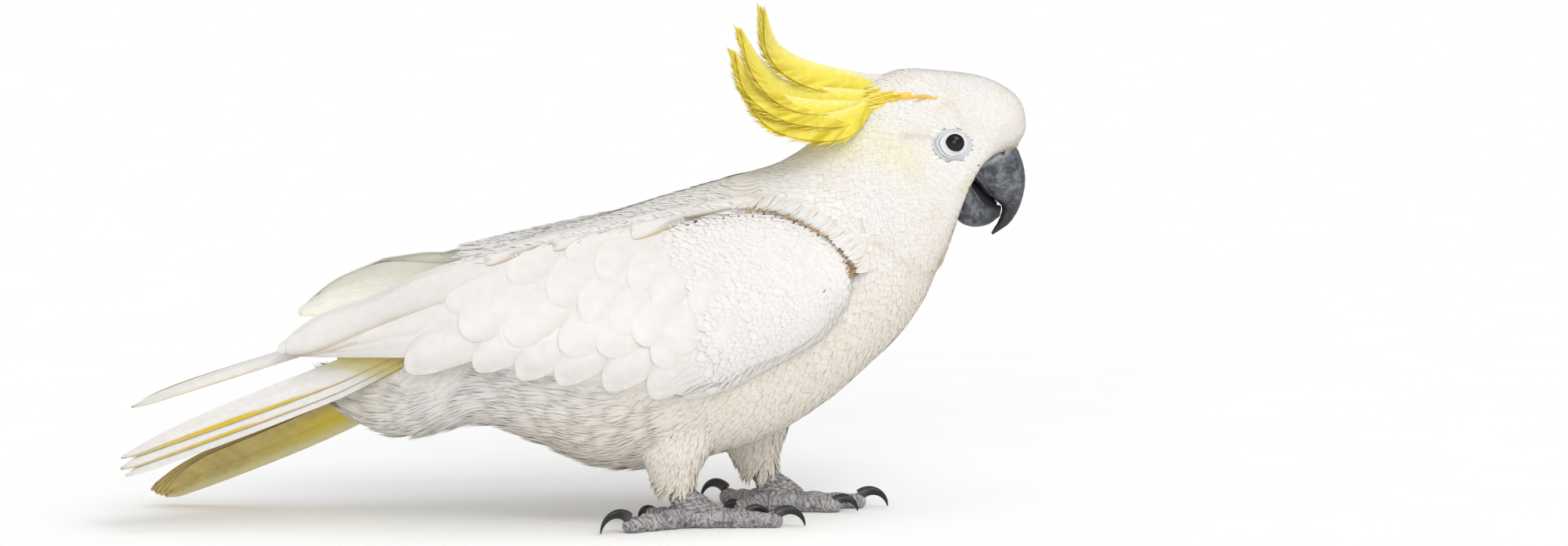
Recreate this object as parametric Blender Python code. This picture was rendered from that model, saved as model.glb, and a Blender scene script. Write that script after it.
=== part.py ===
"""A sulphur-crested cockatoo at life size, standing on both feet, parted where its body has names.

Every size is in millimetres as (ahead, side, up): ahead points to the bill, side to the bird's
own left, up from the floor. World axes follow at the end: X is side, -Y is ahead, Z is up.
"""
import math

import bmesh
import bpy
import numpy as np

MM = 0.001
GAP = 0.3  # clear space kept between neighbouring parts
FLAT_ENOUGH = math.radians(1.5)  # bends too small to keep an edge for
SIDES = {"right": -1, "left": 1}

# Body: upper and lower outline, half width, how much wider it is below its middle, and how far
# its sides are set back from the line between the outlines.
# ahead_up, up_up, ahead_low, up_low, half_width, low_belly, sides_back
BODY = np.array([
    (230.5, 196, 202, 166, 12, 0.00, 8),  # feather edge round the bill
    (234.8, 206, 198, 155, 18, 0.00, 8),  # forehead over the bill
    (231, 221, 195, 146, 22, 0.05, 5),
    (214.5, 231.5, 192, 138, 25, 0.12, 2),  # eyes and cheeks
    (190, 235.6, 188, 130, 27, 0.18, 0),  # crown and throat
    (166, 235.5, 183, 118, 29, 0.20, 0),  # base of the crest
    (143, 223, 175, 105, 33, 0.16, 0),
    (128, 203, 166, 94, 38, 0.10, 0),  # nape and lower neck
    (107, 188, 152, 81, 43, 0.05, 0),  # shoulders
    (77, 179, 130, 62, 48, 0.02, 0),  # breast
    (46, 170, 98, 43, 53, 0.00, 0),
    (14, 160, 55, 31, 54, 0.00, 0),  # belly
    (-14, 153, 14, 29, 52, 0.00, 0),
    (-40, 142, -20, 42, 45, 0.00, 0),  # vent and flank
    (-66, 127, -50, 52, 35, 0.00, 0),
    (-88, 116, -86, 45, 26, 0.00, 0),  # tail coverts, above and below the tail
    (-107, 108, -106, 48, 17, 0.00, 0),
    (-123, 99, -122, 58, 7, 0.00, 0),
], float)
BODY_RINGS, BODY_AROUND, BODY_FULLNESS = 33, 22, 0.86
NECK_FRONT = (132, 206), (199, 152)  # upper and lower end of the cut between head and neck
NECK_BACK = (103, 190), (172, 96)  # of the cut between neck and trunk

# Small rises and hollows of the head: centre, radius, height.
HEAD_RISES = (
    ((209, 19, 216), 13, 2.0),  # brow
    ((197, 25, 200), 11, -2.2),  # bare orbit round the eye
    ((176, 27, 190), 20, 2.0),  # ear coverts
    ((206, 18, 178), 11, 2.0),  # cheek feathers beside the bill
)
EYE_CENTRE, EYE_RADIUS = (196.6, 17.8, 199.9), 6.9

# Bill: culmen point, cutting-edge point, half width.
UPPER_BILL = np.array([
    (223, 199, 196, 182, 10.5), (229.8, 195.3, 204, 180.8, 12), (233, 188.5, 209.8, 176, 12),
    (234.6, 181, 213.2, 171.6, 11), (234.3, 173, 217.8, 168.3, 9), (231.6, 163.5, 222.4, 164.3, 6),
    (226.5, 155.3, 221.6, 158.3, 3.2), (217.8, 149.2, 217.1, 150.4, 0.7),
], float)
LOWER_BILL = np.array([
    (197, 181, 193, 161, 11), (204, 179, 198, 158.5, 13), (208.5, 174, 202, 155.3, 13.5),
    (213.5, 167.5, 208, 153.8, 13), (218.5, 165.5, 215, 155, 11), (222, 164.5, 221, 159, 7.5),
], float)

# Crest: centre line of each plume from crown to tip, and its width there.
PLUMES = (
    ((166, 6, 229), (140, 9, 230), (117, 14, 236), (102, 21, 248), (97, 31, 270)),
    ((166, 11, 224), (143, 16, 221), (113, 21, 223), (95, 27, 237), (85, 30, 259)),
    ((168, 15, 221), (145, 20, 215), (112, 25, 217), (91, 29, 229), (82, 33, 247)),
    ((168, 18, 218), (146, 23, 211), (124, 26, 208), (101, 27, 213), (86, 28, 228)),
)
PLUME_WIDTH, PLUME_THICK = (8, 15, 16, 12.5, 6), 3.2
PLUME_TILT = math.radians(32)  # how far each blade leans out from upright, its lower edge outwards
CREST_SPLAY = {"right": 1.2, "left": 0.82}  # how far the tips stand out from the midline
CREST_RAISE = {"right": 2, "left": -3}  # how much higher or lower each side's tips are carried

# Folded wing: ahead, upper edge (side, up), lower edge (side, up), widest side, thickness.
WING = np.array([
    (144, 43, 138, 43, 124, 45, 6), (139, 42, 151, 44, 111, 50, 11),
    (124, 40, 163, 47, 100, 57, 16), (98, 38, 169, 51, 86, 63.5, 18),
    (60, 35, 165, 54, 70, 67, 18), (10, 32, 155, 55, 75, 66, 17),
    (-40, 30, 144, 52, 83, 60, 15), (-75, 27, 134, 45, 82, 51, 11),
    (-105, 24, 119, 36, 89, 40.5, 8), (-133, 19, 109, 26, 89, 28, 6),
    (-150, 17, 98, 20, 90, 20.5, 4), (-157, 16.5, 94, 17.5, 91, 17.5, 1.5),
], float)
WING_RINGS, WING_EDGE_STEPS = 22, 8
WING_TIP_CUT = (-62, 150), (-98, 78)  # where the long primaries come out from under the wing
WING_DOME_SKEW, WING_DOME_FULLNESS = 1.3, 0.58  # the wing is roundest below its middle
TIP_RAISE = {"right": 0, "left": 15}  # the left wing tip is carried higher
TIP_REACH = {"right": 1.0, "left": 0.9}  # and reaches less far back

# Tail: a roof of twelve feathers behind one ridge, stacked under one another.
TAIL_ROOT, TAIL_FALL = (-60, 118.8), math.radians(17)
TAIL_SLOPES = {"right": (0, 36, 37, 34), "left": (0, 54, 52, 40)}  # degrees down, from the ridge out
TAIL_SLOPE_PLACES = (0, 11, 58, 95)
ROOT_STEEPER = 0.16  # how much steeper the roof is at its root than at its tips
FEATHER_THICK, FEATHER_STEP = 0.7, 1.35
FEATHER_ROOTS = {"right": (4.5, 7, 9, 11, 12.5, 14), "left": (4.5, 7, 9, 11, 12.5, 14)}
FEATHER_TIPS = {"right": (7.5, 43.5, 45.5, 47.5, 49.5, 51), "left": (7.5, 71, 73.5, 76, 78, 80)}
FEATHER_SPLAY = 0.38  # under 1 the feathers part quickly near the root and then run side by side
FEATHER_LENGTHS = {"right": (180, 184, 184, 181, 177, 172), "left": (178, 174, 172, 171, 169, 166)}
FEATHER_HALF_WIDTH = (7, 9.5, 9.5, 9.5, 9.5, 9.5)
TAIL_ROOM = 62, 100  # how far out from the ridge the feathers may reach, at the root and at the tips

# Legs: place of each foot's middle, then thigh and shank sections.
FOOT_MIDDLE = {"right": (56, -28), "left": (102, 28)}
# up, ahead of the foot's middle, out from it, half length, half width
THIGH = np.array([
    (72, 1, -5, 20, 11), (60, 0, 0, 24, 15), (50, -2, 0, 22, 15.5), (39, -5, 1, 18.5, 14.5),
    (29, -5.5, 1, 13.5, 11), (19, -5, 0, 10.5, 8),
], float)
THIGH_LEAN = {"right": 0, "left": -13}  # how far the thigh's top leans back from over the foot
SHANK = np.array([
    (25, -6, 0, 7, 6.2), (19, -2.5, 0, 9, 6.8), (15, 2, 0, 10.5, 7.4), (9.5, 5.5, 0, 12.5, 8),
    (1.2, 5, 0, 11, 7),
], float)
# Toe: turned outwards from straight ahead (degrees), length, how far out from the foot's middle it starts.
TOES = {
    "right": ((-142, 24, -3), (-9, 37, -5), (1, 51, 2.5), (150, 37, 2)),
    "left": ((-142, 26, -3), (-9, 38, -5), (1, 51, 2.5), (140, 33, 2)),
}
TOE_RADIUS, TOE_SINK = 4.3, 0.7
TOE_BASE = 1.45  # how much thicker a toe is where it leaves the foot
CLAW_LENGTHS = (13, 16, 20, 23)
CLAW_ROOT_RADIUS = 3.1


def finish(name, colour, roughness):
    """A plain Principled finish."""
    made = bpy.data.materials.get(name) or bpy.data.materials.new(name)
    made.use_nodes = True
    shader = made.node_tree.nodes["Principled BSDF"]
    shader.inputs["Base Color"].default_value = (*colour, 1)
    shader.inputs["Roughness"].default_value = roughness
    return made


FINISHES = {
    "white_plumage": ((0.84, 0.81, 0.76), 0.85),
    "wing_plumage": ((0.87, 0.86, 0.84), 0.75),
    "yellow_crest": ((0.85, 0.72, 0.12), 0.7),
    "tail_plumage": ((0.86, 0.82, 0.62), 0.75),
    "bill_horn": ((0.07, 0.075, 0.085), 0.5),
    "foot_skin": ((0.25, 0.25, 0.26), 0.75),
    "claw_horn": ((0.02, 0.02, 0.022), 0.25),
    "eye_gloss": ((0.01, 0.008, 0.007), 0.05),
}


def world(points):
    """Turn (ahead, side, up) in millimetres into Blender's X, Y and Z in metres."""
    points = np.asarray(points, float)
    return np.stack([points[..., 1], -points[..., 0], points[..., 2]], axis=-1) * MM


def add_part(name, points, faces, finish_name, collection):
    """Make one smooth-shaded object whose faces all point outwards."""
    mesh = bpy.data.meshes.new(name)
    mesh.from_pydata(world(points).tolist(), [], faces)
    work = bmesh.new()
    work.from_mesh(mesh)
    bmesh.ops.remove_doubles(work, verts=work.verts, dist=1e-6)
    bmesh.ops.recalc_face_normals(work, faces=work.faces)
    work.to_mesh(mesh)
    work.free()
    mesh.materials.append(finish(finish_name, *FINISHES[finish_name]))
    mesh.shade_smooth()
    part = bpy.data.objects.new(name, mesh)
    collection.objects.link(part)
    return part


def loft(name, rings, finish_name, collection):
    """Skin a row of closed rings with quads and close both ends with a fan of triangles."""
    count, around, _ = rings.shape
    points = np.concatenate([rings.reshape(-1, 3), rings[:1].mean(axis=1), rings[-1:].mean(axis=1)])
    steps = [(step, (step + 1) % around) for step in range(around)]
    faces = [
        (row * around + a, row * around + b, (row + 1) * around + b, (row + 1) * around + a)
        for row in range(count - 1)
        for a, b in steps
    ]
    first, last, end_row = len(points) - 2, len(points) - 1, (count - 1) * around
    faces += [(first, b, a) for a, b in steps]
    faces += [(last, end_row + a, end_row + b) for a, b in steps]
    return add_part(name, points, faces, finish_name, collection)


def through(stations, count):
    """Read a smooth curve through the stations (Catmull-Rom) at evenly spaced steps."""
    stations = np.asarray(stations, float)
    before, after = 2 * stations[0] - stations[1], 2 * stations[-1] - stations[-2]
    padded = np.concatenate([before[None], stations, after[None]])
    place = np.linspace(0, len(stations) - 1, count)
    left = np.minimum(place.astype(int), len(stations) - 2)
    t = (place - left)[:, None]
    p0, p1, p2, p3 = (padded[left + step] for step in range(4))
    return p1 + 0.5 * t * (p2 - p0 + t * (2 * p0 - 5 * p1 + 4 * p2 - p3 + t * (3 * (p1 - p2) + p3 - p0)))


def paired_rings(rows, around, fullness, low_belly=0.0, sides_back=0.0):
    """Rings that hang between an upper and a lower outline, given as two points and a half width.

    low_belly widens a ring below its middle; sides_back bows its sides back from the outline's line."""
    turn = np.linspace(0, 2 * math.pi, around, endpoint=False)
    level = np.sign(np.cos(turn)) * np.abs(np.cos(turn)) ** fullness
    width = np.sign(np.sin(turn)) * np.abs(np.sin(turn)) ** fullness
    upper, lower, half = rows[:, None, 0:2], rows[:, None, 2:4], rows[:, None, 4]
    outline = (upper + lower) / 2 + (upper - lower) / 2 * level[None, :, None]
    backwards = np.stack([lower[..., 1] - upper[..., 1], upper[..., 0] - lower[..., 0]], axis=-1)
    backwards /= np.linalg.norm(backwards, axis=-1, keepdims=True)
    outline = outline + backwards * (np.asarray(sides_back) * (1 - level**2))[..., None]
    side = half * width * (1 - np.asarray(low_belly) * level)
    return np.stack([outline[..., 0], side, outline[..., 1]], axis=-1)


def raise_skin(rings, rises):
    """Push ring points outwards from their ring's middle, fading with distance from each centre."""
    middle = rings.mean(axis=1, keepdims=True)
    outward = rings - middle
    outward /= np.linalg.norm(outward, axis=-1, keepdims=True)
    for centre, radius, height in rises:
        mirrored = rings * (1, 0, 1) + np.abs(rings) * (0, 1, 0)
        away = np.linalg.norm(mirrored - centre, axis=-1, keepdims=True)
        rings = rings + outward * height * np.exp(-((away / radius) ** 2))
    return rings


def settle(part):
    """Apply the part's modifiers, drop needless edges and keep only the largest piece."""
    graph = bpy.context.evaluated_depsgraph_get()
    part.data = bpy.data.meshes.new_from_object(part.evaluated_get(graph))
    part.modifiers.clear()
    work = bmesh.new()
    work.from_mesh(part.data)
    bmesh.ops.dissolve_limit(work, angle_limit=FLAT_ENOUGH, verts=work.verts, edges=work.edges)
    bmesh.ops.triangulate(work, faces=work.faces)
    unseen, pieces = set(work.verts), []
    while unseen:
        piece, edge = set(), {unseen.pop()}
        while edge:
            piece |= edge
            edge = {link.other_vert(point) for point in edge for link in point.link_edges} - piece
        unseen -= piece
        pieces.append(piece)
    pieces.sort(key=len)
    for piece in pieces[:-1]:
        bmesh.ops.delete(work, geom=list(piece), context="VERTS")
    work.to_mesh(part.data)
    work.free()
    part.data.shade_smooth()


def hidden_copy(part, grown_by=0.0):
    """A hidden copy of the part, swollen by the given distance, to cut its neighbours with."""
    copy = part.copy()
    copy.data = part.data.copy()
    copy.name = part.name + "_cutter"
    CUTTERS.objects.link(copy)
    for point in copy.data.vertices:
        point.co += point.normal * grown_by * MM
    copy.hide_render = True
    copy.display_type = "WIRE"
    return copy


def clear_of(part, *neighbours, gap=GAP):
    """Cut the part back so that it stays a gap away from each neighbour."""
    for neighbour in neighbours:
        cutter = hidden_copy(neighbour, gap)
        cut = part.modifiers.new("clearance", "BOOLEAN")
        cut.operation = "DIFFERENCE"
        cut.object = cutter
        settle(part)
        bpy.data.objects.remove(cutter)


def keep_side(part, points, facing):
    """Keep what lies ahead of (facing 1) or behind (-1) the plane through two outline points."""
    (ahead, up), (low_ahead, low_up) = points
    along = np.array([ahead - low_ahead, 0, up - low_up], float)
    normal = np.cross(along, (0, 1, 0))
    normal *= facing * np.sign(normal[0]) / np.linalg.norm(normal)
    place = np.array([ahead, 0, up]) + normal * GAP / 2
    slice_off(part, world(place), world(normal))


def slice_off(part, place, normal):
    """Cut the part by a plane, drop what lies behind it and close the cut."""
    work = bmesh.new()
    work.from_mesh(part.data)
    everything = work.verts[:] + work.edges[:] + work.faces[:]
    cut = bmesh.ops.bisect_plane(work, geom=everything, plane_co=place, plane_no=normal, clear_inner=True)
    rim = [item for item in cut["geom_cut"] if isinstance(item, bmesh.types.BMEdge)]
    bmesh.ops.triangle_fill(work, use_beauty=True, edges=rim)
    bmesh.ops.recalc_face_normals(work, faces=work.faces)
    work.to_mesh(part.data)
    work.free()


def make_body():
    """Head, neck and trunk are one lofted form, parted by two thin plane cuts."""
    rows = through(BODY, BODY_RINGS)
    plain = paired_rings(rows, BODY_AROUND, BODY_FULLNESS, rows[:, 5:6], rows[:, 6:7])
    rings = raise_skin(plain, HEAD_RISES)
    whole = loft("whole_body", rings, "white_plumage", CUTTERS)
    whole.hide_render = True
    whole.display_type = "WIRE"
    cuts = {
        "head": [(NECK_FRONT, 1)],
        "neck": [(NECK_FRONT, -1), (NECK_BACK, 1)],
        "trunk": [(NECK_BACK, -1)],
    }
    for name, planes in cuts.items():
        part = loft(name, rings, "white_plumage", PARTS)
        for points, facing in planes:
            keep_side(part, points, facing)
    return whole


def make_bill():
    """Two lofted horn sheaths. The lower one closes up under the upper, a gap away."""
    upper = loft("bill_upper", paired_rings(through(UPPER_BILL, 14), 12, 0.9), "bill_horn", PARTS)
    lower = loft("bill_lower", paired_rings(through(LOWER_BILL, 8), 12, 0.75), "bill_horn", PARTS)
    clear_of(lower, upper)
    clear_of(bpy.data.objects["head"], upper, lower)


def make_eye(side):
    """An eyeball set in its socket, of which only a cap shows."""
    ahead, out, up = EYE_CENTRE
    bpy.ops.mesh.primitive_uv_sphere_add(
        segments=12, ring_count=7, radius=EYE_RADIUS * MM,
        location=world((ahead, out * SIDES[side], up)), rotation=(0, math.pi / 2, 0))
    eye = bpy.context.object
    eye.name = f"eye_{side}"
    eye.data.materials.append(finish("eye_gloss", *FINISHES["eye_gloss"]))
    eye.data.shade_smooth()
    for owner in eye.users_collection:
        owner.objects.unlink(eye)
    PARTS.objects.link(eye)
    eye.data.transform(eye.matrix_world)
    eye.matrix_world.identity()
    clear_of(bpy.data.objects["head"], eye)


def make_crest(side, whole):
    """Four blade-like plumes a side, curled up at their tips, each clear of the ones inside it."""
    made = []
    for number, line in enumerate(PLUMES, 1):
        spine = through(line, 9)
        reach = np.linspace(0, 1, len(spine))
        spine[:, 1] *= SIDES[side] * (1 + (CREST_SPLAY[side] - 1) * reach)
        spine[:, 2] += CREST_RAISE[side] * reach
        half = through(np.array(PLUME_WIDTH, float)[:, None], len(spine))[:, 0] / 2
        half[-1] *= 0.35
        thick = PLUME_THICK / 2 * (1 - 0.7 * reach**3)
        rings = tube_rings(spine, half, thick, 6, SIDES[side] * PLUME_TILT)
        plume = loft(f"crest_plume_{side}_{number}", rings, "yellow_crest", PARTS)
        uncut = hidden_copy(plume)
        clear_of(plume, whole, *made, gap=2 * GAP)
        made.append(uncut)


def tube_rings(spine, half_deep, half_wide, around, tilt=0.0):
    """Elliptic rings across a spine: half_deep upright, half_wide sideways, both turned by the tilt."""
    along = np.gradient(spine, axis=0)
    along /= np.linalg.norm(along, axis=1, keepdims=True)
    sideways = np.cross((0, 0, 1), spine[-1] - spine[0])
    sideways = sideways - along * (sideways * along).sum(axis=1, keepdims=True)
    sideways /= np.linalg.norm(sideways, axis=1, keepdims=True)
    upright = np.cross(along, sideways)
    upright *= np.sign(upright[0, 2])
    deep_way = upright * math.cos(tilt) + sideways * math.sin(tilt)
    wide_way = sideways * math.cos(tilt) - upright * math.sin(tilt)
    turn = np.linspace(0, 2 * math.pi, around, endpoint=False)[None, :, None]
    deep = (deep_way * half_deep[:, None])[:, None] * np.cos(turn)
    wide = (wide_way * half_wide[:, None])[:, None] * np.sin(turn)
    return spine[:, None] + deep + wide


def make_wing(side, whole, tail_space):
    """A domed blade that hugs the body, parted where the long primaries leave the wing."""
    rows = through(WING, WING_RINGS)
    raised = TIP_RAISE[side] * np.clip((-70 - rows[:, 0]) / 35, 0, 1)
    rows[:, 0] += (1 - TIP_REACH[side]) * np.clip(-60 - rows[:, 0], 0, None)
    down = np.linspace(0, 1, WING_EDGE_STEPS)[None, :]
    dome = np.sin(math.pi * down**WING_DOME_SKEW).clip(0) ** WING_DOME_FULLNESS
    ahead, top, low = rows[:, 0:1], rows[:, 1:3], rows[:, 3:5]
    level = top[:, 1:2] + (low[:, 1:2] - top[:, 1:2]) * down + raised[:, None]
    outer = top[:, 0:1] + (low[:, 0:1] - top[:, 0:1]) * down
    outer = outer + (rows[:, 5:6] - (top[:, 0:1] + low[:, 0:1]) / 2) * dome
    inner = outer - rows[:, 6:7] * (0.12 + 0.88 * dome)
    ahead = np.broadcast_to(ahead, level.shape)
    outside = np.stack([ahead, outer * SIDES[side], level], axis=-1)
    inside = np.stack([ahead, inner * SIDES[side], level], axis=-1)
    rings = np.concatenate([outside, inside[:, ::-1]], axis=1)
    pieces = (("wing", 1), ("primaries", -1))
    for piece, facing in pieces:
        part = loft(f"{piece}_{side}", rings, "wing_plumage", PARTS)
        keep_side(part, WING_TIP_CUT, facing)
        clear_of(part, whole, tail_space)


def arch(side, outward, steeper):
    """Walk outwards from the ridge and return how far sideways, how far down, and the slope there."""
    walk = np.linspace(0, TAIL_SLOPE_PLACES[-1] + 10, 160)
    slope = np.radians(np.interp(walk, TAIL_SLOPE_PLACES, TAIL_SLOPES[side]))[:, None] * steeper
    step = walk[1] - walk[0]
    sideways = np.cumsum(np.cos(slope), axis=0) * step - step
    down = np.cumsum(np.sin(slope), axis=0) * step - step * np.sin(slope[0])
    read = [[np.interp(places, walk, table[:, row]) for row, places in enumerate(outward)]
            for table in (sideways, down, slope)]
    return [np.array(table) for table in read]


def roof(side, back, outward, lift):
    """A point of the tail roof: back along the ridge, outward from it, lifted off its surface."""
    steeper = 1 + ROOT_STEEPER * (1 - back / max(FEATHER_LENGTHS[side]))
    sideways, down, slope = arch(side, outward, steeper)
    sideways = sideways + lift * np.sin(slope)
    down = down - lift * np.cos(slope)
    ahead = TAIL_ROOT[0] - back[:, None] * math.cos(TAIL_FALL) + 0 * sideways
    up = TAIL_ROOT[1] - back[:, None] * math.sin(TAIL_FALL) - down
    return np.stack([ahead, sideways * SIDES[side], up], axis=-1)


def roof_slab(name, side, back, inner, outer, lifts, across, collection):
    """A closed blade that follows the roof between two edges, from the upper to the lower lift."""
    share = np.linspace(0, 1, across)[None, :]
    outward = inner[:, None] + (outer - inner)[:, None] * share
    top = roof(side, back, outward, lifts[0])
    bottom = roof(side, back, outward, lifts[1])
    return loft(name, np.concatenate([top, bottom[:, ::-1]], axis=1), "tail_plumage", collection)


def make_tail_feather(side, number):
    """One long blade with a rounded tip, lying a step lower than its inner neighbour."""
    length = FEATHER_LENGTHS[side][number]
    reach = np.array([0, 0.07, 0.21, 0.45, 0.72, 0.89, 0.97, 1.0])
    root, tip = FEATHER_ROOTS[side][number], FEATHER_TIPS[side][number]
    centre = root + (tip - root) * reach ** (FEATHER_SPLAY if number else 1)
    full = np.interp(reach, (0, 0.35, 1), (0.35, 1, 1))
    round_tip = np.sqrt(np.clip(1 - (np.clip(reach - 0.86, 0, 1) / 0.145) ** 2, 0, 1))
    half = FEATHER_HALF_WIDTH[number] * full * round_tip
    inner = np.maximum(centre - half, 0.4)
    top = -number * FEATHER_STEP
    lifts = (top, top - FEATHER_THICK)
    name = f"tail_feather_{side}_{number + 1}"
    roof_slab(name, side, reach * length, inner, centre + half, lifts, 3, PARTS)


def make_tail_space():
    """The room that the stacked tail feathers take, as one hidden blade across both sides."""
    back = np.linspace(-1, 190, 12)
    share = np.linspace(0, 1, 10)[None, :] ** 1.6
    reach = np.interp(back, (0, 190), TAIL_ROOM)
    lifts = 2 * GAP, -len(FEATHER_HALF_WIDTH) * FEATHER_STEP - GAP
    layers = []
    for lift in lifts:
        outward = reach[:, None] * share
        right, left = (roof(side, back, outward, lift) for side in SIDES)
        layers.append(np.concatenate([right[:, :0:-1], left], axis=1))
    rings = np.concatenate([layers[0], layers[1][:, ::-1]], axis=1)
    space = loft("tail_space", rings, "tail_plumage", CUTTERS)
    space.hide_render = True
    space.display_type = "WIRE"
    return space


def leg_rings(side, stations, count, around, lean=0):
    """Level oval rings down a leg, whose top may lean ahead of its foot."""
    rows = through(stations, count)
    rows[:, 1] += lean * (rows[:, 0] - rows[-1, 0]) / (rows[0, 0] - rows[-1, 0])
    ahead, across = FOOT_MIDDLE[side]
    turn = np.linspace(0, 2 * math.pi, around, endpoint=False)[None, :]
    along = ahead + rows[:, 1:2] + rows[:, 3:4] * np.cos(turn)
    sideways = across + SIDES[side] * rows[:, 2:3] + rows[:, 4:5] * np.sin(turn)
    return np.stack([along, sideways, rows[:, 0:1] + 0 * along], axis=-1)


def toe_direction(side, turned_out):
    """Level direction of a toe, from its angle away from straight ahead."""
    turn = math.radians(turned_out)
    return np.array([math.cos(turn), SIDES[side] * math.sin(turn), 0])


def make_toe(side, number, foot, made):
    """A toe with padded joints and a flat sole, then its curved claw. Returns the toe before it was cut."""
    turned_out, length, outward = TOES[side][number]
    heading = toe_direction(side, turned_out)
    middle = np.array([*FOOT_MIDDLE[side], 0]) + (0, SIDES[side] * outward, 0)
    reach = np.append(np.linspace(0, 0.92, 8), 1)
    taper = 1 + (TOE_BASE - 1) * (1 - reach) ** 2
    pads = 1 + 0.08 * np.cos(2 * math.pi * reach * (2.5 + length / 30))
    radius = TOE_RADIUS * taper * pads
    radius[-1] *= 0.5
    rise = TOE_RADIUS * taper - TOE_SINK
    spine = middle + heading * (length * reach)[:, None] + np.array([0, 0, 1]) * rise[:, None]
    rings = tube_rings(spine, radius, radius, 6)
    toe = loft(f"toe_{side}_{number + 1}", rings, "foot_skin", PARTS)
    slice_off(toe, (0, 0, 0), (0, 0, 1))
    uncut = hidden_copy(toe)
    clear_of(toe, foot, *made, gap=1.5 * GAP)
    make_claw(side, number, spine[-1], heading, toe)
    return uncut


def make_claw(side, number, toe_end, heading, toe):
    """A horn arc that leaves the top of the toe's end and comes down to the floor ahead of it."""
    length = CLAW_LENGTHS[number]
    bend = np.linspace(math.radians(42), math.radians(-85), 7)
    step = length / len(bend)
    forward = np.cumsum(np.cos(bend)) * step
    rise = np.cumsum(np.sin(bend)) * step
    rise += 0.9 - rise[-1]
    start = toe_end * (1, 1, 0) - heading * 3.4
    spine = start + heading * forward[:, None] + np.array([0, 0, 1]) * rise[:, None]
    radius = CLAW_ROOT_RADIUS * (1 - 0.86 * np.linspace(0, 1, len(bend)) ** 1.3)
    rings = tube_rings(spine, radius, radius * 0.75, 6)
    claw = loft(f"claw_{side}_{number + 1}", rings, "claw_horn", PARTS)
    slice_off(claw, (0, 0, 0), (0, 0, 1))
    clear_of(claw, toe)


def make_leg(side, whole):
    """Feathered thigh, short scaly shank, and two toes ahead and two behind."""
    shank = loft(f"shank_{side}", leg_rings(side, SHANK, 5, 9), "foot_skin", PARTS)
    thigh = loft(f"thigh_{side}", leg_rings(side, THIGH, 9, 12, THIGH_LEAN[side]), "white_plumage", PARTS)
    clear_of(thigh, whole, shank)
    made = []
    for number in (2, 3, 1, 0):
        made.append(make_toe(side, number, shank, made))


def centre_on_floor():
    """Put the origin at the middle of the whole bird's footprint box, on the floor."""
    corners = []
    for part in PARTS.objects:
        places = np.empty(len(part.data.vertices) * 3)
        part.data.vertices.foreach_get("co", places)
        corners += [places.reshape(-1, 3).min(axis=0), places.reshape(-1, 3).max(axis=0)]
    low, high = np.min(corners, axis=0), np.max(corners, axis=0)
    middle = (low + high) / 2
    for part in PARTS.objects:
        for point in part.data.vertices:
            point.co.x -= middle[0]
            point.co.y -= middle[1]
            point.co.z -= low[2]


for leftover in list(bpy.data.objects):
    bpy.data.objects.remove(leftover)
PARTS = bpy.data.collections.new("cockatoo")
CUTTERS = bpy.data.collections.new("cutters")
for group in (PARTS, CUTTERS):
    bpy.context.scene.collection.children.link(group)

whole_body = make_body()
tail_room = make_tail_space()
clear_of(bpy.data.objects["trunk"], tail_room)
make_bill()
for bird_side in SIDES:
    make_eye(bird_side)
    make_crest(bird_side, whole_body)
    make_wing(bird_side, whole_body, tail_room)
    make_leg(bird_side, whole_body)
    for feather in range(len(FEATHER_HALF_WIDTH)):
        make_tail_feather(bird_side, feather)
centre_on_floor()
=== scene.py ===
# %% [markdown]
# # A sulphur-crested cockatoo, feather by feather
#
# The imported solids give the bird's size, pose and named parts. This lesson dresses them: a skin, several
# tracts of feathers laid on it, horn, scaly feet and wet eyes. Nearly every piece is a surface worked out
# with numpy as a function of two parameters, because then a feather can be laid on the skin by asking the
# skin where it is.

# %% Load the fixed frame
import math
import bpy
import numpy as np
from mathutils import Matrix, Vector

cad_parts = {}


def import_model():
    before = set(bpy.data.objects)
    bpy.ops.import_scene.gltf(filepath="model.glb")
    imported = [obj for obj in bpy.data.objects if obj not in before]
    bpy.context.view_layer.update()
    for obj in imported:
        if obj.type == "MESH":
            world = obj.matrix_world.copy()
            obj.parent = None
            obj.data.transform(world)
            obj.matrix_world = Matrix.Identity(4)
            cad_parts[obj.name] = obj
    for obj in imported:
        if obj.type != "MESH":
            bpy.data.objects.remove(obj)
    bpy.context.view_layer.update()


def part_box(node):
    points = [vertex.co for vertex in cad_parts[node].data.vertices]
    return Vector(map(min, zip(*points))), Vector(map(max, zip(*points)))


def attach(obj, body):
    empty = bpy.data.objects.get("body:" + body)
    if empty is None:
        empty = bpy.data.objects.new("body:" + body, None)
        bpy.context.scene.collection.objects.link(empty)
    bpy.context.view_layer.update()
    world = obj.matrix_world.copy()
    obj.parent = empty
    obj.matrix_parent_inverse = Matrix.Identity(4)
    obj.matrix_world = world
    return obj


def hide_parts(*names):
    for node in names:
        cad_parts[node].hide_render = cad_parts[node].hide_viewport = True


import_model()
dice = np.random.default_rng(11)

# %% [markdown]
# ## The bird's own axes
#
# Every measure below is in millimetres as (ahead, side, up): ahead towards the bill, side towards the
# bird's own left, up from the floor. The right eyeball's solid is a whole sphere, so its box centre ties
# these measures to the frame's metres.

# %% From the bird's axes to the frame's
MM = 0.001
SIDES = {"right": -1, "left": 1}
EYE = np.array([196.6, 17.8, 199.9])
eye_low, eye_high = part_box("eye_right")
EYE_RADIUS = (eye_high.z - eye_low.z) / 2 / MM
SHIFT = (np.array(eye_low) + np.array(eye_high)) / 2 - np.array([-EYE[1], -EYE[0], EYE[2]]) * MM


def world(points):
    """Turn (ahead, side, up) in millimetres into the frame's X, Y and Z in metres."""
    points = np.asarray(points, float)
    return np.stack([points[..., 1], -points[..., 0], points[..., 2]], axis=-1) * MM + SHIFT


print("eye radius", round(EYE_RADIUS, 2), "mm; the frame is shifted by", np.round(SHIFT / MM, 2), "mm")

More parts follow.
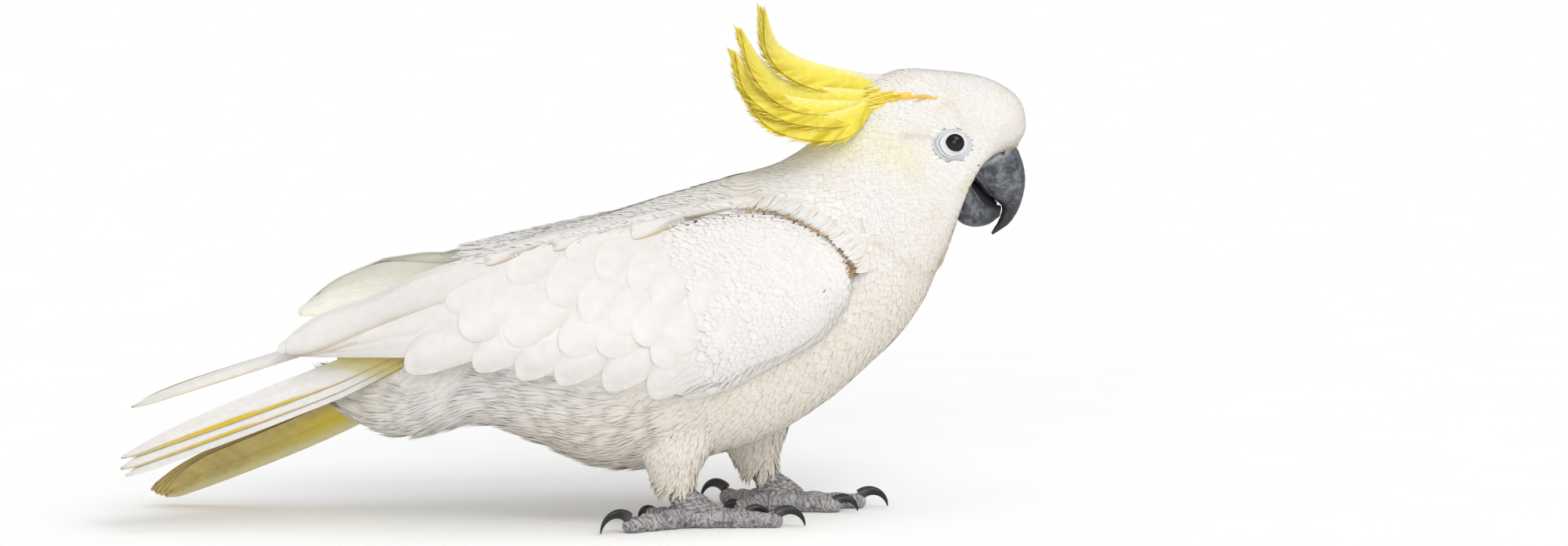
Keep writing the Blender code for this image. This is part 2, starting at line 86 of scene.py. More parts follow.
# %% [markdown]
# ## Camera, floor and light
#
# The camera stands off to the bird's right, a little above it, with a long lens so that the bird hardly
# narrows with distance. It is panned past the bird, which so stands left of the middle. The floor is one
# pale sheet. A broad soft key light shines from above in front, a narrower one beside it adds glints, a low
# one fills from the camera's side, and the white surroundings do the rest.

# %% Camera, floor and light
FRAME_WIDTH = 0.82  # metres seen from side to side where the bird stands
CAMERA_DISTANCE, CAMERA_RAISED = 3.5, math.radians(7.1)
BIRD_MIDDLE, AIM = (0, 0, 0), (108.6, 0, 129.5)

camera = bpy.data.objects.new("camera", bpy.data.cameras.new("camera"))
bpy.context.scene.collection.objects.link(camera)
bpy.context.scene.camera = camera
camera.data.sensor_width = 36
camera.data.lens = 36 * CAMERA_DISTANCE / FRAME_WIDTH
aim = world(AIM)
stand = world(BIRD_MIDDLE) * (0, 1, 0) + (
    -CAMERA_DISTANCE * math.cos(CAMERA_RAISED), 0, aim[2] + CAMERA_DISTANCE * math.sin(CAMERA_RAISED))


def look(thing, place, target):
    """Stand a camera or lamp at a place so that its -Z axis points at the target."""
    thing.location = place
    thing.rotation_euler = (Vector(target) - Vector(place)).to_track_quat("-Z", "Y").to_euler()


look(camera, stand, aim)


def soft_sun(name, direction, strength, spread):
    """White light from one direction, as wide in the sky as the spread in degrees, the same all over."""
    lamp = bpy.data.objects.new(name, bpy.data.lights.new(name, "SUN"))
    bpy.context.scene.collection.objects.link(lamp)
    lamp.data.angle = math.radians(spread)
    lamp.data.energy = strength
    look(lamp, direction, (0, 0, 0))


soft_sun("key", (-1.1, -1.0, 2.6), 0.95, 60)
soft_sun("glint", (-1.6, -0.9, 1.9), 0.5, 20)
soft_sun("fill", (-2.0, 0.2, 0.38), 1.1, 40)

surroundings = bpy.data.worlds.new("surroundings")
surroundings.use_nodes = True
surroundings.node_tree.nodes["Background"].inputs["Color"].default_value = (1, 1, 1, 1)
surroundings.node_tree.nodes["Background"].inputs["Strength"].default_value = 0.6
bpy.context.scene.world = surroundings
bpy.context.scene.view_settings.view_transform = "Standard"

# %% [markdown]
# ## Helpers for surfaces
#
# Three helpers do most of the work. One reads a smooth curve through a few stations. One turns a grid of
# points into a chart, which answers where a place on the surface is and which way it faces. One writes
# numpy arrays into a mesh, with colour attributes that the finishes read.


# %% Curves and charts
def through(stations, count):
    """A smooth curve through the stations (Catmull-Rom): each span is a cubic in its own 0 to 1."""
    stations = np.asarray(stations, float)
    before, after = 2 * stations[0] - stations[1], 2 * stations[-1] - stations[-2]
    padded = np.concatenate([before[None], stations, after[None]])
    place = np.linspace(0, len(stations) - 1, count)
    left = np.minimum(place.astype(int), len(stations) - 2)
    t = (place - left)[:, None]
    p0, p1, p2, p3 = (padded[left + step] for step in range(4))
    return p1 + 0.5 * t * (p2 - p0 + t * (2 * p0 - 5 * p1 + 4 * p2 - p3 + t * (3 * (p1 - p2) + p3 - p0)))


def unit(vectors):
    """Vectors scaled to length one."""
    return vectors / np.maximum(np.linalg.norm(vectors, axis=-1, keepdims=True), 1e-9)


def smooth(value, low, high):
    """0 below low, 1 above high, and 3t^2 - 2t^3 between."""
    t = np.clip((value - low) / (high - low), 0, 1)
    return t * t * (3 - 2 * t)


def folded(points):
    """Both sides of the body laid on the left one."""
    return points * (1, 0, 1) + np.abs(points) * (0, 1, 0)


def hump(value, centre, width):
    """A bell curve: 1 at the centre, and e^-1 one width away from it."""
    return np.exp(-(((value - centre) / width) ** 2))


def whole_turn(count):
    """Angles evenly round a circle, without the last one, which is the first again."""
    return np.linspace(0, 2 * math.pi, count, endpoint=False)


def net_of(first, second):
    """Two tables that hold the first parameter and the second one at every crossing of a grid."""
    return np.meshgrid(first, second, indexing="ij")


def cloud(points, size, salt=0.0):
    """Smooth random values from 0 to 1 in cells of a size: each cell's eight corners get a scrambled value
    (the fraction of a large sine), and a point reads them in proportion to its place between them."""
    place = points / size + salt
    cell = np.floor(place)
    share = smooth(place - cell, 0, 1)
    total = 0.0
    for corner in np.ndindex(2, 2, 2):
        scrambled = np.sin((cell + corner) @ np.array([12.9, 78.2, 37.7])) * 4375.85
        total = total + np.where(corner, share, 1 - share).prod(axis=-1) * (scrambled - np.floor(scrambled))
    return total


def chart_of(grid, closed, outward):
    """A chart from a grid of points: at(p, q) reads the point and the unit normal at p, q in 0 to 1.

    The normal is the cross product of the grid's two slopes, turned to agree with outward, and both are
    read between grid points in proportion. A closed chart joins up at q = 0 and q = 1."""
    rows, columns, _ = grid.shape
    along = np.gradient(grid, axis=0)
    wrapped = np.concatenate([grid[:, -2:-1], grid, grid[:, 1:2]], axis=1)
    around = (wrapped[:, 2:] - wrapped[:, :-2]) / 2 if closed else np.gradient(grid, axis=1)
    normal = unit(np.cross(along, around))
    normal *= np.sign((normal * outward).sum(axis=-1).mean())

    def at(p, q):
        row = np.clip(p, 0, 1) * (rows - 1)
        column = (np.mod(q, 1) if closed else np.clip(q, 0, 1)) * (columns - 1)
        i = np.minimum(row.astype(int), rows - 2)
        j = np.minimum(column.astype(int), columns - 2)
        s, t = (row - i)[..., None], (column - j)[..., None]

        def read(table):
            near = table[i, j] * (1 - t) + table[i, j + 1] * t
            far = table[i + 1, j] * (1 - t) + table[i + 1, j + 1] * t
            return near * (1 - s) + far * s

        return read(grid), unit(read(normal))

    return at


# %% From arrays to a piece
def new_piece(name, points, faces, finish, tint, barb=None, patch=None, stands_for=(), facing=None):
    """A smooth-shaded mesh from points in millimetres and arrays of faces, riding on the one body.

    tint is a colour for each point, barb a length in millimetres for each point, and patch the place of
    each point on the map that the colours are baked through. facing is the way that each corner of each
    face is shaded, which lets thousands of blades read as one soft coat."""
    corners = np.concatenate([part.ravel() for part in faces]).astype(np.int32)
    sizes = np.concatenate([np.full(len(part), part.shape[1]) for part in faces])
    mesh = bpy.data.meshes.new(name)
    mesh.vertices.add(len(points))
    mesh.vertices.foreach_set("co", world(points).astype(np.float32).ravel())
    mesh.loops.add(len(corners))
    mesh.loops.foreach_set("vertex_index", corners)
    mesh.polygons.add(len(sizes))
    mesh.polygons.foreach_set("loop_start", (np.cumsum(sizes) - sizes).astype(np.int32))
    if patch is not None:
        layer = mesh.uv_layers.new(name="OFBake")
        layer.data.foreach_set("uv", patch[corners].astype(np.float32).ravel())
    colours = np.concatenate([tint, np.ones((len(tint), 1))], axis=1)
    layer = mesh.attributes.new("tint", "FLOAT_COLOR", "POINT")
    layer.data.foreach_set("color", colours.astype(np.float32).ravel())
    if barb is not None:
        layer = mesh.attributes.new("barb", "FLOAT", "POINT")
        layer.data.foreach_set("value", barb.astype(np.float32))
    mesh.update()
    mesh.validate()
    mesh.materials.append(finish)
    mesh.shade_smooth()
    if facing is not None:
        mesh.normals_split_custom_set(np.stack([facing[:, 1], -facing[:, 0], facing[:, 2]], axis=-1))
    piece = bpy.data.objects.new(name, mesh)
    bpy.context.scene.collection.objects.link(piece)
    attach(piece, "root")
    if stands_for:
        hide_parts(*stands_for)
    print(f"{name}: {int((sizes - 2).sum())} triangles")
    return piece


def tube_faces(rows, around):
    """Quads between the rings of a tube, and a fan of triangles to a point at each end.

    The rings come first, row by row, then the point before the first ring and the one after the last."""
    i, j = net_of(np.arange(rows - 1), np.arange(around))
    k = (j + 1) % around
    quads = np.stack([i * around + j, i * around + k, (i + 1) * around + k, (i + 1) * around + j], axis=-1)
    step, turn = np.arange(around), (np.arange(around) + 1) % around
    first, last, end = rows * around, rows * around + 1, (rows - 1) * around
    fans = [np.stack([turn, step, np.full(around, first)], axis=1),
            np.stack([end + step, end + turn, np.full(around, last)], axis=1)]
    return [quads.reshape(-1, 4), np.concatenate(fans)]


def facing_out(points, faces, middle):
    """The faces, all turned round if their normals point more towards the middle than away from it."""
    a, b, c = (points[faces[0][:, corner]] for corner in (0, 1, 2))
    inwards = (np.cross(b - a, c - a) * (a - middle)).sum() < 0
    return [part[:, ::-1] for part in faces] if inwards else faces


def with_poles(table):
    """A table of ring points with the values of the two end points added, as closed_tube adds the points."""
    return np.concatenate([table, table[:1], table[-1:]])


def closed_tube(rings):
    """The points and faces of a row of rings, closed at both ends and facing outwards."""
    rows, around, _ = rings.shape
    points = np.concatenate([rings.reshape(-1, 3), rings[:1].mean(axis=1), rings[-1:].mean(axis=1)])
    faces = tube_faces(rows, around)
    middle = rings.mean(axis=1).repeat(around, axis=0)[: len(faces[0])]
    return points, facing_out(points, faces, middle)


# %% [markdown]
# ## Finishes
#
# Feathers, horn and skin each carry their markings as a colour attribute worked out from where a point
# lies, so a feather and the skin under it always agree. The finish then adds what is too fine to store:
# the fine barbs of a vane as a faint ripple, the dust on horn, the grain of the feet's skin.


# %% Finishes
def new_node(nodes, kind, **settings):
    """A shader node with some of its inputs set; a setting's name has _ for each space of the input's."""
    made = nodes.new("ShaderNode" + kind)
    for name, value in settings.items():
        made.inputs[name.replace("_", " ")].default_value = value
    return made


def attribute_node(nodes, name):
    """A node that reads one of the piece's own attributes."""
    made = nodes.new("ShaderNodeAttribute")
    made.attribute_name = name
    return made


def finish_from_tint(name, roughness, specular, sheen, mottle_size, mottle, bump_size, bump, barbs=0.0):
    """A Principled finish whose colour is the tint, mottled by noise, with a bump of noise or of barbs."""
    made = bpy.data.materials.new(name)
    made.use_nodes = True
    nodes, link = made.node_tree.nodes, made.node_tree.links.new
    shader = nodes["Principled BSDF"]
    surface = {"Roughness": roughness, "Specular IOR Level": specular, "Sheen Weight": sheen}
    for socket, value in surface.items():
        shader.inputs[socket].default_value = value
    place = nodes.new("ShaderNodeTexCoord")
    noise = new_node(nodes, "TexNoise", Scale=1 / (mottle_size * MM), Detail=3)
    link(place.outputs["Object"], noise.inputs["Vector"])
    spread = new_node(nodes, "MapRange", From_Min=0.3, From_Max=0.7, To_Min=1 - mottle, To_Max=1 + mottle / 2)
    link(noise.outputs["Fac"], spread.inputs["Value"])
    colour = nodes.new("ShaderNodeVectorMath")
    colour.operation = "SCALE"
    link(attribute_node(nodes, "tint").outputs["Color"], colour.inputs[0])
    link(spread.outputs["Result"], colour.inputs["Scale"])
    link(colour.outputs[0], shader.inputs["Base Color"])
    ripple = new_node(nodes, "Bump", Strength=bump, Distance=bump_size * MM)
    if barbs:
        turn, wave = nodes.new("ShaderNodeMath"), nodes.new("ShaderNodeMath")
        turn.operation, wave.operation = "MULTIPLY", "SINE"
        turn.inputs[1].default_value = 2 * math.pi / barbs
        link(attribute_node(nodes, "barb").outputs["Fac"], turn.inputs[0])
        link(turn.outputs[0], wave.inputs[0])
        link(wave.outputs[0], ripple.inputs["Height"])
    else:
        grit = new_node(nodes, "TexNoise", Scale=1 / (bump_size * MM), Detail=4)
        link(place.outputs["Object"], grit.inputs["Vector"])
        link(grit.outputs["Fac"], ripple.inputs["Height"])
    link(ripple.outputs["Normal"], shader.inputs["Normal"])
    return made


DOWN = finish_from_tint("small_feathers", 0.85, 0.15, 0.1, 5, 0.03, 0.05, 0.2, barbs=0.9)
VANE = finish_from_tint("wing_vane", 0.7, 0.2, 0.1, 6, 0.04, 0.12, 0.3, barbs=0.8)
TAIL_VANE = finish_from_tint("tail_vane", 0.65, 0.2, 0.1, 4, 0.06, 0.12, 0.4, barbs=0.8)
CREST_VANE = finish_from_tint("crest_vane", 0.75, 0.15, 0.15, 3, 0.08, 0.2, 0.4, barbs=0.8)
BARE_SKIN = finish_from_tint("bare_skin", 0.6, 0.3, 0.0, 1.2, 0.08, 0.5, 0.3)
BILL_HORN = finish_from_tint("bill_horn", 0.5, 0.4, 0.0, 1.6, 0.25, 0.7, 0.3)
FOOT_SKIN = finish_from_tint("foot_scales", 0.7, 0.3, 0.0, 1.5, 0.3, 0.6, 0.5)
CLAW_HORN = finish_from_tint("claw_horn", 0.3, 0.4, 0.0, 2, 0.25, 0.8, 0.1)
WET_EYE = finish_from_tint("wet_eye", 0.04, 0.35, 0.0, 0.8, 0.1, 0.3, 0.0)
FLOOR = finish_from_tint("studio_floor", 0.9, 0.1, 0.0, 60, 0.01, 5, 0.02)

# %% The floor
FLOOR_REACH = 12000  # millimetres each way
edge = np.array([-FLOOR_REACH, FLOOR_REACH])
corner_ahead, corner_side = net_of(edge, edge)
floor_points = np.stack([corner_ahead, corner_side, 0 * corner_side], axis=-1).reshape(-1, 3)
floor_points[:, 2] = -SHIFT[2] / MM - 0.05
floor = new_piece("floor", floor_points, [np.array([[0, 2, 3, 1]])], FLOOR,
                  tint=np.full((4, 3), 0.97))

# %% [markdown]
# ## The plumage's outline as a surface
#
# Head, neck and trunk are one form: rings hung between an upper and a lower outline, swollen a little at
# the brow, ear and cheek and sunk at the eye. This is the outside of the coat. The skin lies inside it by
# the coat's depth, and the body's feathers find their roots and their lie by asking this surface, so that
# they sit on the bird as they grow and never as a texture does.

# %% The body surface
# ahead_up, up_up, ahead_low, up_low, half_width, low_belly, sides_back
BODY = np.array([
    (230.5, 196, 202, 166, 12, 0.00, 8), (234.8, 206, 198, 155, 18, 0.00, 8),
    (231, 221, 195, 146, 22, 0.05, 5), (214.5, 231.5, 192, 138, 25, 0.12, 2),
    (190, 235.6, 188, 130, 27, 0.18, 0), (166, 235.5, 183, 118, 29, 0.20, 0),
    (143, 223, 175, 105, 33, 0.16, 0), (128, 203, 166, 94, 38, 0.10, 0),
    (107, 188, 152, 81, 43, 0.05, 0), (77, 179, 130, 62, 48, 0.02, 0),
    (46, 170, 98, 43, 53, 0.00, 0), (14, 160, 55, 31, 54, 0.00, 0),
    (-14, 153, 14, 29, 52, 0.00, 0), (-40, 142, -20, 42, 45, 0.00, 0),
    (-66, 127, -50, 52, 35, 0.00, 0), (-88, 116, -86, 45, 26, 0.00, 0),
    (-107, 108, -106, 48, 17, 0.00, 0), (-123, 99, -122, 58, 7, 0.00, 0),
], float)
FULLNESS = 0.86
HEAD_RISES = (
    ((209, 19, 216), 13, 2.0),  # brow
    ((197, 25, 200), 11, -2.2),  # bare orbit round the eye
    ((176, 27, 190), 20, 2.0),  # ear coverts
    ((206, 18, 178), 11, 2.0),  # cheek feathers beside the bill
)
COAT_DEPTH = 2.4


def paired_rings(rows, around, fullness, low_belly=0.0, sides_back=0.0):
    """Rings between an upper and a lower outline: cosine and sine raised to the fullness give level and
    width; low_belly widens a ring below its middle; sides_back bows its sides back."""
    turn = whole_turn(around)
    level = np.sign(np.cos(turn)) * np.abs(np.cos(turn)) ** fullness
    width = np.sign(np.sin(turn)) * np.abs(np.sin(turn)) ** fullness
    upper, lower, half = rows[:, None, 0:2], rows[:, None, 2:4], rows[:, None, 4]
    outline = (upper + lower) / 2 + (upper - lower) / 2 * level[None, :, None]
    backwards = unit(np.stack([lower[..., 1] - upper[..., 1], upper[..., 0] - lower[..., 0]], axis=-1))
    outline = outline + backwards * (np.asarray(sides_back) * (1 - level**2))[..., None]
    side = half * width * (1 - np.asarray(low_belly) * level)
    return np.stack([outline[..., 0], side, outline[..., 1]], axis=-1)


def raise_skin(rings, rises):
    """Ring points pushed out from their ring's middle by a bell curve round each centre, on both sides."""
    outward = unit(rings - rings.mean(axis=1, keepdims=True))
    for centre, radius, height in rises:
        away = np.linalg.norm(folded(rings) - centre, axis=-1, keepdims=True)
        rings = rings + outward * height * hump(away, 0, radius)
    return rings


body_rows = through(BODY, 180)
body_rings = raise_skin(
    paired_rings(body_rows, 120, FULLNESS, body_rows[:, 5:6], body_rows[:, 6:7]), HEAD_RISES)


def chart_of_rings(rings):
    """A closed chart of a row of rings, whose normals point away from the rings' middles."""
    grid = np.concatenate([rings, rings[:, :1]], axis=1)
    outward = grid - rings.mean(axis=1, keepdims=True)
    return chart_of(grid, True, outward)


body_chart = chart_of_rings(body_rings)


def body_side(ahead, up, side, rows):
    """How far out the body lies at a place of its side view: the nearest four grid points, weighed."""
    own = body_rings[:rows][body_rings[:rows, :, 1] * SIDES[side] > 5]
    away = (own[None, :, 0] - ahead.reshape(-1, 1)) ** 2 + (own[None, :, 2] - up.reshape(-1, 1)) ** 2
    near = np.argsort(away, axis=1)[:, :4]
    weight = 1 / (np.take_along_axis(away, near, axis=1) + 0.05)
    return ((own[:, 1][near] * weight).sum(axis=1) / weight.sum(axis=1)).reshape(ahead.shape)


print("body surface", body_rings.shape)

# %% [markdown]
# ## The folded wings as surfaces
#
# A folded wing is a long shallow dome from the bend at the shoulder to the tip. Each wing is read in its
# side view: a place is how far ahead and how high, and the surface answers how far out it lies there. So a
# flight feather can be drawn flat, as on the open page, and lifted onto the wing.

# %% The wing surface
# ahead, upper edge (side, up), lower edge (side, up), widest side, thickness
WING = np.array([
    (143.5, 43, 135, 43, 127, 45, 6), (139, 42, 145, 44, 117.5, 50, 11),
    (126, 40, 157.5, 47, 101.5, 57, 16), (98, 38, 168.5, 51, 86, 63.5, 18),
    (60, 35, 165, 54, 70, 67, 18), (10, 32, 155, 55, 75, 66, 17),
    (-40, 30, 144, 52, 83, 60, 15), (-75, 27, 134, 45, 82, 51, 11),
    (-105, 24, 119, 36, 89, 40.5, 8), (-133, 19, 109, 26, 89, 28, 6),
    (-150, 17, 98, 20, 90, 20.5, 4), (-157, 16.5, 94, 17.5, 91, 17.5, 1.5),
], float)
DOME_SKEW, DOME_FULLNESS = 1.3, 0.58
TIP_RAISE = {"right": 0, "left": 15}
TIP_REACH = {"right": 1.0, "left": 0.9}
TIP_UPRIGHT = {"right": 0, "left": 0.75}


def wing_rows(side, count):
    """The wing's stations, with the left tip carried higher, more upright and reaching less far back."""
    rows = through(WING, count)
    upright = TIP_UPRIGHT[side] * smooth(-rows[:, 0], 20, 95)
    rows[:, 1] += upright * (rows[:, 3] - 2 - rows[:, 1])
    rows[:, 5] += upright * (rows[:, 3] + 1 - rows[:, 5])
    raised = TIP_RAISE[side] * np.clip((-70 - rows[:, 0]) / 35, 0, 1)
    rows[:, 0] += (1 - TIP_REACH[side]) * np.clip(-60 - rows[:, 0], 0, None)
    rows[:, 2] += raised
    rows[:, 4] += raised
    return rows


def dome(down):
    """How full the wing is from its upper edge at 0 to its lower edge at 1: a skewed sine, flattened."""
    return np.sin(math.pi * np.clip(down, 0, 1) ** DOME_SKEW).clip(0) ** DOME_FULLNESS


def wing_outside(rows, down):
    """How far out the wing lies at each station, down from its upper edge at 0 to its lower edge at 1."""
    top_side, low_side, widest = rows[:, 1:2], rows[:, 3:4], rows[:, 5:6]
    return top_side + (low_side - top_side) * down + (widest - (top_side + low_side) / 2) * dome(down)


def on_wing(side, ahead, up, lift):
    """The point on a wing's outside at a place of its side view, lifted outwards by some millimetres.

    Past the lower edge the surface goes on straight, so tips can overhang; past the upper edge it turns
    in over the back, as the folded wing does."""
    rows = wing_rows(side, 120)[::-1]
    place = np.clip(ahead, rows[0, 0], rows[-1, 0])
    top_side, top, low_side, low, widest = (np.interp(place, rows[:, 0], rows[:, k]) for k in range(1, 6))
    down = np.clip((top - up) / np.maximum(top - low, 6), 0.035, 0.93)
    out = top_side + (low_side - top_side) * down + (widest - (top_side + low_side) / 2) * dome(down)
    over = np.maximum(up - top, 0)
    out = np.maximum(out - 0.9 * over, 4)
    return np.stack([ahead, (out + lift) * SIDES[side], up - 0.8 * over], axis=-1)


print("right wing is widest at", np.round(on_wing("right", np.array(60.0), np.array(110.0), 0), 1))

# %% [markdown]
# ## Markings
#
# A sulphur-crested cockatoo is white, but no part of it is plain: the breast is cream, the cheek has a pale
# sulphur patch, the feathers round the bill are stained tan, and the down under the belly is olive-grey,
# partly its own tone and partly painted shade where it turns from the light; folds between tracts get painted
# shade too. One function of place gives this colour, and both the skin and the small feathers of body and
# thighs read it. Wing, tail and crest have colours of their own.


# %% Colours by place
def paint(red, green, blue):
    """A colour as seen on a screen, 0 to 255, turned to the linear light that a finish needs."""
    seen = np.array([red, green, blue]) / 255
    return np.where(seen > 0.04045, ((seen + 0.055) / 1.055) ** 2.4, seen / 12.92)


WHITE, CREAM = paint(223, 220, 216), paint(220, 212, 199)
WARM, TAN = paint(214, 201, 180), paint(200, 176, 140)
ROOT_YELLOW = paint(236, 220, 88)
SULPHUR, GOLD, AMBER_SHADE = paint(228, 222, 160), paint(226, 204, 58), paint(190, 142, 28)
OLIVE_AND_SHADE, LEMON, STAIN = paint(172, 160, 128), paint(236, 226, 132), paint(206, 192, 152)


def mix(first, second, share):
    """Two colours mixed by a share for each point."""
    return first + (second - first) * np.asarray(share)[..., None]


def bell(points, centre, radii):
    """1 at a centre and fading outwards, the same on both sides of the body."""
    away = (folded(points) - centre) / radii
    return np.exp(-(away**2).sum(axis=-1))


# The yellow at the crest's root, which narrows forwards to a point above the eye: (ahead, up) of its edges
YELLOW_LOW = (
    (112, 195), (127, 201.5), (134, 205), (144, 209.7), (153, 214.7), (158, 218), (168, 222), (177, 223.2),
    (185, 223.6), (196, 222),
)
YELLOW_HIGH = ((112, 241), (142, 235.8), (152, 232), (165, 227.7), (176, 226.2), (187, 224.7), (196, 222.5))
# Stained lines behind the two halves of the bill: (ahead, up)
BEHIND_UPPER_BILL = (231, 196.5), (221, 192), (210, 184), (204, 177)
BEHIND_LOWER_BILL = (203, 157), (199, 148), (191, 136)
# Painted shade along soft folds where one tract of feathers overlaps the next: (ahead, up) of a line, its
# width and its depth
FOLD_SHADE_LINES = (
    (((156, 156.5), (168, 147), (178.5, 139.7), (186, 134.5)), 2.0, 0.09),
    (((174, 205.5), (187, 203)), 1.6, 0.14),
    (((196, 221), (202, 216), (203.5, 210)), 1.8, 0.07),
)


def near_line(points, line, width):
    """1 on a line of the side view and fading over its width: the least distance to any of its spans."""
    place, nearest = points[..., [0, 2]], np.inf
    for start, end in zip(line[:-1], line[1:]):
        way = np.subtract(end, start, dtype=float)
        along = ((place - start) @ way / (way @ way)).clip(0, 1)
        nearest = np.minimum(nearest, np.linalg.norm(place - start - along[..., None] * way, axis=-1))
    return hump(nearest, 0, width)


def plumage_tint(points):
    """White above, cream on the breast, olive under the belly (partly painted shade), tan round the bill,
    sulphur on the cheek, painted shade along folds.
    """
    ahead, up = points[..., 0], points[..., 2]
    lower = smooth(-up, -(95 + 0.45 * ahead.clip(-60, 200)), -(30 + 0.5 * ahead.clip(-60, 200)))
    colour = mix(WHITE, CREAM, 0.75 * lower)
    # olive under the belly and at the vent: partly the down's own tone, partly painted shade where the
    # underside turns from the light
    belly = smooth(-up, -64, -34) * smooth(ahead, -135, -60)
    colour = mix(colour, OLIVE_AND_SHADE, 0.16 * belly)
    vent = bell(points, (-80, 10, 54), (34, 40, 13))
    colour = mix(colour, OLIVE_AND_SHADE, 0.22 * vent)
    colour = mix(colour, CREAM, 0.5 * smooth(cloud(points, 9), 0.45, 0.8) * smooth(ahead, 60, 90))
    bill_rim = smooth(ahead - 0.25 * (up - 190), 212, 236) * smooth(up, 135, 160)
    colour = mix(colour, WARM, 0.35 * bill_rim)
    colour = mix(colour, STAIN, 0.4 * near_line(points, BEHIND_UPPER_BILL, 3.0))
    colour = mix(colour, TAN, 0.6 * near_line(points, BEHIND_LOWER_BILL, 3.0))
    cheek = bell(points, (173, 27, 195), (13, 26, 9)) + 0.25 * bell(points, (178, 27, 183), (10, 26, 7))
    colour = mix(colour, paint(222, 220, 172), 0.4 * cheek.clip(0, 1))
    under_crest = bell(points, (138, 18, 207), (24, 16, 12))
    colour = mix(colour, SULPHUR, 0.6 * under_crest)
    above = up - np.interp(ahead, *np.transpose(YELLOW_LOW))
    below = np.interp(ahead, *np.transpose(YELLOW_HIGH)) - up
    yellow = smooth(np.minimum(above, below) - smooth(ahead, 150, 168), -1.0, 1.0) * smooth(ahead, 112, 124)
    yellow = yellow * smooth(np.abs(points[..., 1]), 3, 7)
    # painted shade along each fold line
    for line, width, depth in FOLD_SHADE_LINES:
        colour = colour * (1 - depth * near_line(points, line, width))[..., None]
    return mix(colour, mix(ROOT_YELLOW, GOLD, smooth(ahead, 150, 170)), 0.95 * yellow)


print("crown", np.round(plumage_tint(np.array([190.0, 0, 235])), 2),
      "cheek", np.round(plumage_tint(np.array([173.0, 27, 194])), 2))

# %% [markdown]
# ## A batch of small feathers
#
# A small feather is a thin blade: a lens in cross-section, drawn out from root to tip. Thousands are made
# at once, so each has only a few rings. Its middle line and both edges are looked up on the surface, which
# bends the blade to the body. Roots come from a sequence that never clumps, sent through the surface's own
# map of area and feather size, so that small feathers stand close and large ones far apart.


# %% Scattering roots
def quiet_pairs(count, start):
    """Evenly spread pairs in 0 to 1: whole steps of two powers of 1/1.3247, with the whole part dropped."""
    steps = np.arange(1, count + 1)[:, None] / np.array([1.324717957, 1.324717957**2])
    return np.mod(steps + start, 1)


def scatter(chart, spacing, p_range, start):
    """Roots (p, q) on a chart, as dense as 1/spacing^2 asks, none where the spacing is endless."""
    rows, columns = 120, 160
    p = np.linspace(*p_range, rows + 1)
    q = np.linspace(0, 1, columns + 1)
    corner, _ = chart(*net_of(p, q))
    down, across = np.diff(corner, axis=0)[:, :-1], np.diff(corner, axis=1)[:-1]
    area = np.linalg.norm(np.cross(down, across), axis=-1)
    weight = area / spacing(corner[:-1, :-1] + (down + across) / 2) ** 2
    total = weight.sum()
    pairs = quiet_pairs(int(total), start)
    marginal = np.concatenate([[0], np.cumsum(weight.sum(axis=1))]) / total
    found_p = np.interp(pairs[:, 0], marginal, p)
    row = np.clip(((found_p - p[0]) / (p[-1] - p[0]) * rows).astype(int), 0, rows - 1)
    sums = np.cumsum(weight, axis=1) / np.maximum(weight.sum(axis=1, keepdims=True), 1e-12)
    ladder = (sums + np.arange(rows)[:, None]).ravel()
    step = np.searchsorted(ladder, row + pairs[:, 1] * 0.999999)
    column = np.clip(step - row * columns, 0, columns - 1)
    high = sums[row, column]
    low = np.where(column > 0, sums[row, column - 1], 0)
    inside = (pairs[:, 1] - low) / np.maximum(high - low, 1e-9)
    return found_p, (column + inside.clip(0, 1)) / columns


def evenly(spacing):
    """The same millimetres between roots everywhere."""
    return lambda points: spacing + 0 * points[..., 0]


def lying(*direction):
    """A lie that heads the same way everywhere."""
    return lambda roots: np.array(direction, float) + 0 * roots


# %% Blades
PATCH = 0.003  # width of a feather's patch on the map
BLADE_THICK, BLADE_CUP = 0.05, 0.035  # millimetres; the middle's rise for each millimetre of half width


def mapped(p, q):
    """Places on the map for roots p, q of a chart, with a margin left all round."""
    return np.stack([0.01 + 0.98 * q, 0.01 + 0.98 * p], axis=-1)


def blades(spine, across, above):
    """Closed blades: four points a ring (edge, crest, edge, keel), and a point at each end.

    spine, across and above are tables of blade, station and the three measures."""
    count, stations, _ = spine.shape
    rings = np.stack([spine - across, spine + above, spine + across, spine - above], axis=2)
    root = spine[:, 0] - 0.3 * (spine[:, 1] - spine[:, 0])
    tip = spine[:, -1] + 0.35 * (spine[:, -1] - spine[:, -2])
    points = np.concatenate([rings.reshape(count, -1, 3), root[:, None], tip[:, None]], axis=1)
    quads, fans = tube_faces(stations, 4)
    first = np.arange(count)[:, None, None] * points.shape[1]
    faces = [(part[None] + first).reshape(-1, part.shape[1]) for part in (quads, fans)]
    middle = spine.mean(axis=1).repeat(len(quads), axis=0)
    return points, facing_out(points.reshape(-1, 3), faces, middle)


def patches(root_uv, stations):
    """A small square of the map for each blade: across it from edge to edge, up it from root to tip."""
    reach = np.linspace(0.1, 0.9, stations)
    sides = np.array([0.0, 0.5, 1.0, 0.5])
    square = np.stack(np.broadcast_arrays(sides[None, :], reach[:, None]), axis=-1).reshape(-1, 2)
    square = np.concatenate([square, [[0.5, 0.0], [0.5, 1.0]]])
    return root_uv[:, None] + (square - 0.5) * PATCH


